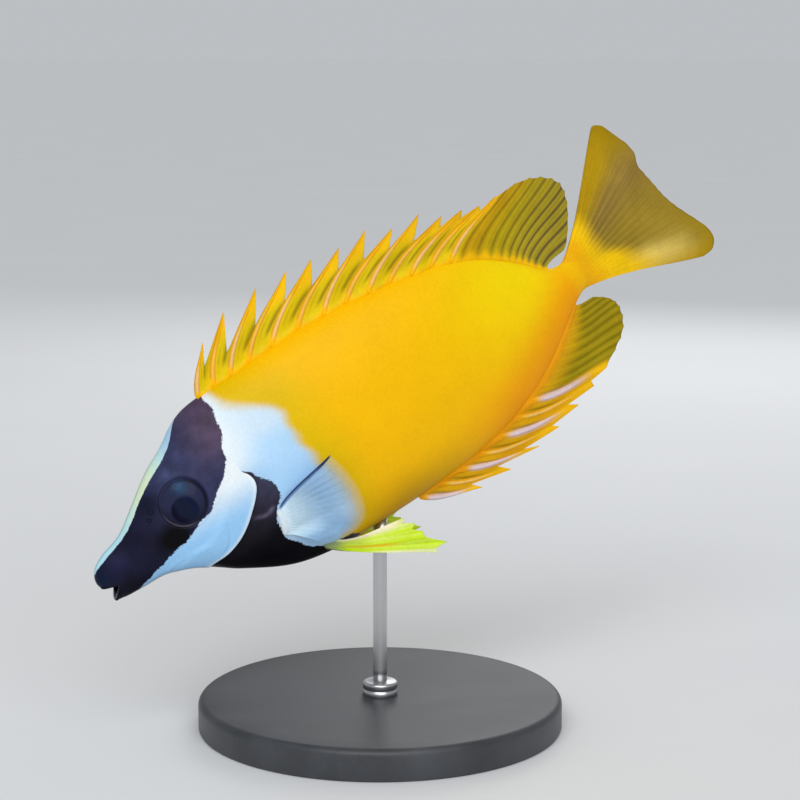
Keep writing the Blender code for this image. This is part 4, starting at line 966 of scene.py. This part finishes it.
# Tail fin: seventeen branched rays that fan out from the end of the tail stalk, with a clear
# olive web, firm yellow margins and a slightly hollow rear edge.
ROOT_X, ROOT_FILL = 166.0, 0.95         # end of the stalk, and share of its width that the root fills
CAUDAL_RAYS = 17
MIDDLE_RAY = (CAUDAL_RAYS - 1) / 2
CAUDAL_TIPS = [(0, 200.6, 17.6), (0.5, 203.4, 18.9), (1, 205.9, 17.0), (2, 208.2, 11.6),
               (3, 209.6, 7.3), (4, 209.3, 3.6), (5, 207.9, 0.3), (6, 208.4, -3.2), (8, 209.7, -9.4),
               (10, 210.9, -15.4), (12, 212.8, -21.8), (13, 214.4, -25.9), (14, 216.3, -30.8),
               (14.5, 217.0, -33.6), (15, 216.4, -36.4), (15.5, 213.8, -38.3), (16, 209.6, -37.6)]
CAUDAL_BOW, CAUDAL_BAY = 0.025, 0.003
CAUDAL_ROOT_SHARE, CAUDAL_ROOT_SINK = 0.4, 4.0
CAUDAL_ROWS = np.linspace(0, 1, 64)
CAUDAL_WEB, CAUDAL_BROWN, CAUDAL_RAY = tone(158, 131, 38), tone(150, 120, 56), tone(182, 154, 62)
CAUDAL_DUSK, CAUDAL_EDGE, CAUDAL_TIP = tone(92, 72, 10), tone(188, 150, 6), tone(166, 134, 0)
CAUDAL_PALE, CAUDAL_GOLD = tone(250, 218, 110), tone(255, 206, 2)
caudal_top, caudal_low = outline(BACK, ROOT_X), outline(BELLY, ROOT_X)
caudal_middle, caudal_deep = (caudal_top + caudal_low) / 2, (caudal_top - caudal_low) / 2


def caudal_foot(number):
    """Feet of the tail fin's rays, on the end of the stalk, spaced as the cosine of their angle."""
    angle = (0.1 + 0.8 * number / (CAUDAL_RAYS - 1)) * np.pi
    return np.stack([ROOT_X + 0 * angle, caudal_middle + caudal_deep * np.cos(angle)], -1)


inward = np.repeat(np.arange(CAUDAL_RAYS), WEB_COLUMNS + 1)[:-WEB_COLUMNS] / MIDDLE_RAY - 1
places, half, ridge, rows, _, number, _, share = fin_plan(
    0, CAUDAL_RAYS, 0, caudal_foot, CAUDAL_TIPS, CAUDAL_TIPS, inward, CAUDAL_BOW, CAUDAL_BAY, CAUDAL_ROWS)
height = np.clip((places[:, :1, 1] - caudal_middle) / caudal_deep, -1, 1)
root_half = ROOT_FILL * outline(HALF_WIDTH, ROOT_X) * np.sqrt(1 - height ** 2)
half = half - (ROOT_HALF - WEB_HALF) * fall(rows, 0, ROOT_SHARE)
half = half + np.maximum(root_half - half, 0) * np.maximum(1 - rows / CAUDAL_ROOT_SHARE, 0) ** 1.5
places[:, 0, 0] -= CAUDAL_ROOT_SINK
margin = np.abs(number - MIDDLE_RAY) / MIDDLE_RAY
root_end = 0.36 + 0.12 * ramp(number, 8.5, 12.5) + 0.015 * np.cos(2 * np.pi * share)
root_fade = 0.05 + 0.2 * margin ** 4 * ramp(number, 7, 9)
tint = layered(
    CAUDAL_WEB,
    (CAUDAL_BROWN, 0.8 * hump(number, 4.5, 2.4) * ramp(rows, 0.2, 0.5)),
    (CAUDAL_RAY, 0.32 * ridge * fall(rows, 0.75, 1)),
    (CAUDAL_DUSK, 0.36 * hump(share, 0.5, 0.16) * hump(rows, 0.42, 0.17) * fall(margin, 0.5, 0.85)),
    (CAUDAL_EDGE, np.where(number < MIDDLE_RAY, ramp(margin, 0.56, 0.86), ramp(margin, 0.78, 0.97))),
    (CAUDAL_PALE, 0.75 * hump(number, 14.6, 1.3) * hump(rows, 0.58, 0.24)),
    (CAUDAL_TIP, 0.8 * ramp(rows, 0.82, 1.0) * ramp(margin, 0.35, 0.9)),
    (blend(STALK, CAUDAL_GOLD, ramp(rows, 0.08, 0.26)),
     fall(rows, root_end - 0.15, root_end + root_fade)))
wave = 0.5 * np.sin(0.75 * number + 0.6) * rows ** 2 - 0.9 * hump(number, 4.2, 1.0) * rows ** 1.5
sheet("caudal_web", "caudal_fin", "fin", FIN_LOOK, aside(places, wave - half), aside(places, wave + half),
      (tint, tint), ROOT_X)

# Pectoral fins: clear fans of fine rays on a fleshy root behind the gill cover, lying back along
# the flank with the tips a little off it. The first ray is stout and dark.
PECTORAL_RAYS = 14
PECTORAL_ROOT = [(49.9, -7.9), (48.7, -14.6)]
PECTORAL_TIPS = [(0, 70.0, -0.2), (3, 71.8, -7.6), (6, 72.0, -15.5), (9, 69.4, -21.6),
                 (11, 64.5, -23.4), (13, 57.0, -22.4)]
PECTORAL_FLARE, PECTORAL_PAD, PECTORAL_LENGTH, PECTORAL_LOW_Z = 5.5, 2.5, 20, -15.0
PECTORAL_BOW, PECTORAL_BAY = 0.04, 0.006
PECTORAL_OFF, PECTORAL_SINK = 0.35, 0.6              # middle of the root over the skin, and its foot
LEADING_HALF = 0.42
CLEAR_WEB, CLEAR_RAY, CLEAR_SHADE = tone(172, 212, 246), tone(204, 228, 252), tone(96, 128, 176)
CLEAR_LOW, CLEAR_ROOT_AND_LIGHT, PAD_WHITE = tone(120, 160, 198), tone(216, 243, 255), tone(240, 250, 255)
LEADING, LEADING_EDGE = tone(112, 146, 204), tone(26, 42, 76)


def evenly(root, ribs):
    """Maker of the feet of ribs, from their numbers: evenly from one end of a root to the other."""
    start, end = np.array(root, float)
    return lambda number: start + (end - start) * number.reshape(-1, 1) / (ribs - 1)


places, half, ridge, rows, _, number, _, share = fin_plan(
    0, PECTORAL_RAYS, 0, evenly(PECTORAL_ROOT, PECTORAL_RAYS), PECTORAL_TIPS, PECTORAL_TIPS, 1,
    PECTORAL_BOW, PECTORAL_BAY)
x, z = places[..., 0], places[..., 1]
reach = np.hypot(x - x[:, :1], z - z[:, :1])
stand_off = PECTORAL_FLARE * (np.maximum(reach - PECTORAL_PAD, 0) / PECTORAL_LENGTH) ** 1.2
middle = flank(x, np.maximum(z, PECTORAL_LOW_Z)) + PECTORAL_OFF + stand_off
middle[:, 0] -= PECTORAL_SINK
leading = fall(number, 0.95 - 0.85 * rows, 1.15 - 0.9 * rows) * ramp(rows, 0, 0.1)
half = WEB_HALF + (half - WEB_HALF) * (1 - 0.88 * ramp(rows, 0.08, 0.25))
half = np.maximum(half, LEADING_HALF * leading * (1 - 0.6 * rows))
edge_of_ray = np.maximum(hump(number, 0, 0.3), ramp(rows, 0.6, 0.85))
tint = layered(
    CLEAR_WEB,
    (CLEAR_RAY, 0.13 * ridge),
    (CLEAR_SHADE, 0.36 * hump(share, 0.5, 0.12) * hump(number, 3, 2) * hump(rows, 0.6, 0.3)),
    # pale root of the web, partly its own colour and partly painted light
    (CLEAR_ROOT_AND_LIGHT, 0.8 * fall(rows, 0.25, 0.6)),
    (CLEAR_LOW, 0.6 * ramp(number, 7, 10) * ramp(rows, 0.45, 0.7)),
    (PAD_WHITE, 0.8 * fall(rows, 0.04, 0.2)),
    (LEADING, leading * ramp(rows, 0.02, 0.12)),
    (LEADING_EDGE, 0.95 * edge_of_ray * leading * ramp(rows, 0.02, 0.12)))
dense = 0.6 + 0.03 * ridge + 0.36 * np.maximum(fall(rows, 0.1, 0.4), ramp(number, 7, 11))
dense = dense * (1 - 0.92 * ramp(rows, 0.72, 1.0)) + 0.9 * leading * fall(rows, 0.94, 1.0)
dense = np.clip(dense, 0, 1)
CLEAR_LOOK = fin_look("clear_fin_web", 0.35, clear=True)
for side_word, hand in (("left", -1), ("right", 1)):
    sheet("pectoral_web_" + side_word, "pectoral_fin_" + side_word, "clear_fin", CLEAR_LOOK,
          aside(places, hand * (middle - half)), aside(places, hand * (middle + half)),
          (tint, tint), dense=np.tile(dense.ravel(), 2))

# Pelvic fins: a spine at each edge with three branched rays between them, hung from the belly
# beside the keel and laid back. The web is pale lime yellow.
PELVIC_RIBS = 5
PELVIC_ROOT = [(57.0, 5.4), (62.0, 4.6)]      # x and distance from the midline
PELVIC_TIPS = [(0, 83.2, -43.6), (1, 87.0, -42.6), (2, 82.8, -36.4), (3, 82.3, -33.6), (4, 80.7, -31.2)]
PELVIC_NOTCHES = [(0.5, 83.2, -42.2), (1.5, 82.4, -38.0), (2.5, 80.6, -34.4), (3.5, 79.4, -31.9)]
PELVIC_TIP_Y = [(0, 11.5), (1, 11.0), (2, 9.8), (3, 8.4), (4, 6.4)]
PELVIC_FACE = np.array([0.0, 1.0, 0.25])      # way that the fin's sides face, beyond its root
PELVIC_BOW, PELVIC_COLUMNS, PELVIC_NOTCH_SHARE = 0.03, 25, 0.5
EDGE_SPINE_HALF, EDGE_SPINE_TAPER = 0.6, 0.45
LIME, LIME_RAY, LIME_PALE = tone(204, 234, 30), tone(226, 246, 110), tone(255, 244, 222)
LIME_ORANGE, PELVIC_GREY = tone(240, 176, 20), tone(126, 130, 140)
pelvic_root = evenly(PELVIC_ROOT, PELVIC_RIBS)


def pelvic_foot(number):
    """Feet of the pelvic ribs in side view, on the belly."""
    root_x, root_y = pelvic_root(number).T
    return np.stack([root_x, keel(root_x, root_y)], -1)


places, half, ridge, rows, _, number, _, _ = fin_plan(
    0, PELVIC_RIBS, PELVIC_RIBS - 1, pelvic_foot, PELVIC_TIPS, PELVIC_NOTCHES, -1, PELVIC_BOW,
    between=PELVIC_COLUMNS, notch_share=PELVIC_NOTCH_SHARE)
foot_y = pelvic_root(number)[:, 1:]
middle = aside(places, foot_y + (line(PELVIC_TIP_Y, number) - foot_y) * rows)
middle[:, 0, 2] += FIN_SINK
stout = np.maximum(hump(number, 0, 0.09), hump(number, PELVIC_RIBS - 1, 0.09))
half = np.maximum(half, stout * (EDGE_SPINE_HALF - EDGE_SPINE_TAPER * rows))
slope = keel(places[:, :1, 0], foot_y + 0.5) - keel(places[:, :1, 0], foot_y - 0.5)
rooted = np.stack([0 * slope, np.ones_like(slope), slope], -1)
turned = ramp(rows, 0, 0.3)[..., None]
offset = rooted * (1 - turned) + PELVIC_FACE * turned
offset = offset / np.linalg.norm(offset, axis=-1, keepdims=True) * half[..., None]
tint = layered(
    LIME,
    (LIME_RAY, 0.5 * ridge + 0.5 * hump(number, 2.4, 0.9) * fall(rows, 0.5, 0.9)),
    # painted highlight: the upper part of the fin goes pale
    (LIME_PALE, 0.9 * ramp(number, 2.6, 3.8) * (1 - 0.5 * ramp(rows, 0.75, 1))),
    (LIME_PALE, 0.6 * hump(number, 0.2, 0.25) * ramp(rows, 0.3, 0.6)),
    (LIME_ORANGE, 0.85 * hump(number, 1.25, 0.16) * ramp(rows, 0.1, 0.2) * fall(rows, 0.5, 0.75)),
    (PELVIC_GREY, 0.75 * fall(rows, 0.0, 0.2) * fall(number, 2.2, 3.4)))
for side_word, hand in (("left", -1), ("right", 1)):
    mirror = np.array([1, hand, 1])
    sheet("pelvic_web_" + side_word, "pelvic_fin_" + side_word, "fin", FIN_LOOK,
          (middle - offset) * mirror, (middle + offset) * mirror, (tint, tint))

# Stand: a honed slate disc with a brushed steel rod that rises from a small turned collar and is
# cut at its top to the slope of the belly.
BASE_RADIUS, BASE_HEIGHT, BASE_EDGE, BASE_SIDES = 52.0, 9.0, 2.0, 192
COLLAR_RADIUS, COLLAR_HEIGHT, COLLAR_EDGE, STEEL_SIDES = 5.0, 4.0, 0.8, 96
ROD_RADIUS, ROD_RINGS, ROD_INTO_BELLY, ROD_INTO_COLLAR = 2.0, 12, 0.2, 1
BASE_FOOT = [(0.8, 0), (0.3, 0.2), (0, 0.7)]         # (in from the radius, height)
COLLAR_STEPS = [(0.3, -0.2), (0, 0.3), (0, 1.5), (0.25, 1.7), (0.25, 2.0), (0, 2.2)]
SLATE, SLATE_CLOUD = (*tone(44, 46, 50), 1), (*tone(70, 73, 78), 1)
SLATE_FLECK = (*tone(150, 152, 156), 1)
STEEL_DIM, STEEL_BRIGHT = (0.50, 0.50, 0.51, 1), (0.68, 0.68, 0.69, 1)


def lathe(profile, sides):
    """Points and faces of a turned piece: a profile of (radius, height) carried round the upright
    axis, closed by a point on the axis at each end."""
    _, cosine, sine = circle(sides)
    profile = np.array(profile, float)
    rings = np.stack([profile[:, :1] * cosine, profile[:, :1] * sine, profile[:, 1:] + 0 * cosine], -1)
    first, last = [[0, 0, profile[0, 1]]], [[0, 0, profile[-1, 1]]]
    return np.concatenate([first, rings.reshape(-1, 3), last]), capped(len(profile), sides)


def round_edge(radius, top, corner):
    """Quarter circle of a profile that rounds an upper edge."""
    return [(radius - corner + corner * math.cos(a), top - corner + corner * math.sin(a))
            for a in np.linspace(0, np.pi / 2, 9)]


def slate_look():
    """Honed slate: dark grey with faint cleavage clouds, fine grain and a few light flecks."""
    look, node, finish = nodes_of("honed_slate")
    place = node("Mapping", Vector=node("TexCoord").outputs["Object"], Scale=(1.0, 2.2, 1.0),
                 Rotation=(0, 0, 0.6)).outputs[0]
    cloud = node("TexNoise", Vector=place, Scale=26.0, Detail=6.0, Roughness=0.62,
                 Distortion=0.8).outputs["Fac"]
    fleck = node("TexVoronoi", Vector=place, Scale=700.0).outputs["Distance"]
    colour = mixed(node, spread(node, cloud, 0.0, 1.0, 0.3, 0.7), SLATE, SLATE_CLOUD)
    colour = mixed(node, spread(node, fleck, 0.25, 0.0, 0.0, 0.12), colour, SLATE_FLECK)
    height = reckon(node, "MULTIPLY_ADD", noise(node, place, 1300.0, 3.0), 0.3, cloud)
    finish(Base_Color=colour, Roughness=spread(node, cloud, 0.34, 0.56),
           Normal=bumps(node, height, 0.25, 0.0004))
    return look


def steel_look():
    """Brushed steel, its fine lines running round the turned rod and collar."""
    look, node, finish = nodes_of("brushed_steel")
    place = node("Mapping", Vector=node("TexCoord").outputs["Object"],
                 Scale=(60.0, 60.0, 7000.0)).outputs[0]
    lines = noise(node, place, 1.0, 4.0, 0.7)
    finish(Base_Color=mixed(node, lines, STEEL_DIM, STEEL_BRIGHT), Metallic=1.0,
           Roughness=spread(node, lines, 0.22, 0.42), Normal=bumps(node, lines, 0.2, 0.00005))
    return look


def underside(x, y):
    """World height of the belly over the point (x, y) of the stand, by halving a span of heights
    until it meets the belly line."""
    low, high = np.full_like(x, ROD_TOP - 12), np.full_like(x, ROD_TOP + 12)
    for _ in range(40):
        middle = (low + high) / 2
        rise = middle - ROD_TOP
        along = HELD_X + x * math.cos(HEAD_DOWN) + rise * math.sin(HEAD_DOWN)
        height = HELD_Z - x * math.sin(HEAD_DOWN) + rise * math.cos(HEAD_DOWN)
        inside = height > keel(along, y)
        high, low = np.where(inside, middle, high), np.where(inside, low, middle)
    return (low + high) / 2


base_profile = [(BASE_RADIUS - inset, height) for inset, height in BASE_FOOT]
base_profile += round_edge(BASE_RADIUS, BASE_HEIGHT, BASE_EDGE)
base_profile += [(radius, BASE_HEIGHT) for radius in (44.0, 30.0, 12.0)]
piece("slate_base", *lathe(base_profile, BASE_SIDES), slate_look(), "stand_plate", ("stand_base",))

STEEL = steel_look()
collar_top = BASE_HEIGHT + COLLAR_HEIGHT
collar_profile = [(COLLAR_RADIUS - inset, BASE_HEIGHT + height) for inset, height in COLLAR_STEPS]
collar_profile += round_edge(COLLAR_RADIUS, collar_top, COLLAR_EDGE)
collar_profile += [(ROD_RADIUS + 0.6, collar_top), (ROD_RADIUS + 0.2, collar_top + 0.15)]
piece("steel_collar", *lathe(collar_profile, STEEL_SIDES), STEEL, "stand_metal")

rod_heights = np.linspace(collar_top - ROD_INTO_COLLAR, ROD_TOP, ROD_RINGS)
points, faces = lathe([(ROD_RADIUS, height) for height in rod_heights], STEEL_SIDES)
cut = slice(1 + (ROD_RINGS - 1) * STEEL_SIDES, None)     # the top ring and the point in its middle
points[cut, 2] = underside(points[cut, 0], points[cut, 1]) + ROD_INTO_BELLY
piece("steel_rod", points, faces, STEEL, "stand_metal", ("stand_rod",))

# Studio: a plain pale floor, soft light from above and both sides, and the camera of the
# photograph, low in front of the fish's left side and a little above its eye.
FLOOR_RADIUS, FLOOR_SIDES = 40000.0, 128
PAPER_DIM, PAPER_BRIGHT = (0.84, 0.85, 0.86, 1), (0.88, 0.89, 0.90, 1)
BACKDROP, BACKDROP_LIGHT, BACKDROP_SEEN = (0.90, 0.93, 0.97, 1), 0.4, 0.56
CAMERA_PLACE = (-0.1850, -0.5878, 0.1919)
CAMERA_RIGHT, CAMERA_UP = (0.9511, -0.3090, 0.0), (0.0483, 0.1488, 0.9877)
CAMERA_BACK = (-0.3052, -0.9393, 0.1564)
LIT_POINT = Vector((0, 0, 0.09))


def floor_look():
    """Matt pale paper with a breath of unevenness."""
    look, node, finish = nodes_of("pale_floor")
    paper = noise(node, node("TexCoord").outputs["Object"], 8.0, 3.0)
    finish(Base_Color=mixed(node, paper, PAPER_DIM, PAPER_BRIGHT), Roughness=0.8)
    return look


_, cosine, sine = circle(FLOOR_SIDES)
disc = np.stack([np.append(FLOOR_RADIUS * way, 0) for way in (cosine, sine, 0 * sine)], -1)
floor_mesh = bpy.data.meshes.new("floor")
floor_mesh.from_pydata((disc * MM).tolist(), [], fan(FLOOR_SIDES, np.arange(FLOOR_SIDES)))
floor_mesh.materials.append(floor_look())
floor = bpy.data.objects.new("floor", floor_mesh)
bpy.context.collection.objects.link(floor)

world = bpy.data.worlds.new("studio")
world.use_nodes = True
backdrop = world.node_tree.nodes["Background"]
backdrop.inputs["Color"].default_value = BACKDROP
seen = world.node_tree.nodes.new("ShaderNodeLightPath").outputs["Is Camera Ray"]
strength = world.node_tree.nodes.new("ShaderNodeMapRange")
strength.inputs["To Min"].default_value = BACKDROP_LIGHT
strength.inputs["To Max"].default_value = BACKDROP_SEEN
world.node_tree.links.new(seen, strength.inputs["Value"])
world.node_tree.links.new(strength.outputs[0], backdrop.inputs["Strength"])
bpy.context.scene.world = world
bpy.context.scene.view_settings.view_transform = "Standard"


def lamp(name, kind, place, power, **size):
    """Soft light at a place in metres, aimed at the middle of the object."""
    light = bpy.data.lights.new(name, kind)
    light.energy = power
    for word, value in size.items():
        setattr(light, word, value)
    made = bpy.data.objects.new(name, light)
    made.location = place
    made.rotation_euler = (LIT_POINT - Vector(place)).to_track_quat("-Z", "Y").to_euler()
    bpy.context.collection.objects.link(made)


lamp("front_light", "SUN", (-0.1, -0.85, 0.75), 1.2, angle=math.radians(50))
lamp("key_light", "AREA", (-0.55, -0.65, 0.75), 2.2, size=0.45)
lamp("rim_light", "AREA", (0.45, 0.75, 0.5), 1.4, size=0.5)

lens = bpy.data.cameras.new("camera")
lens.lens, lens.sensor_width = 100.0, 36.0
lens.clip_start, lens.clip_end = 0.01, 100.0
camera = bpy.data.objects.new("camera", lens)
turned = Matrix((CAMERA_RIGHT, CAMERA_UP, CAMERA_BACK)).transposed().to_4x4()
turned.translation = CAMERA_PLACE
camera.matrix_world = turned
bpy.context.collection.objects.link(camera)
bpy.context.scene.camera = camera
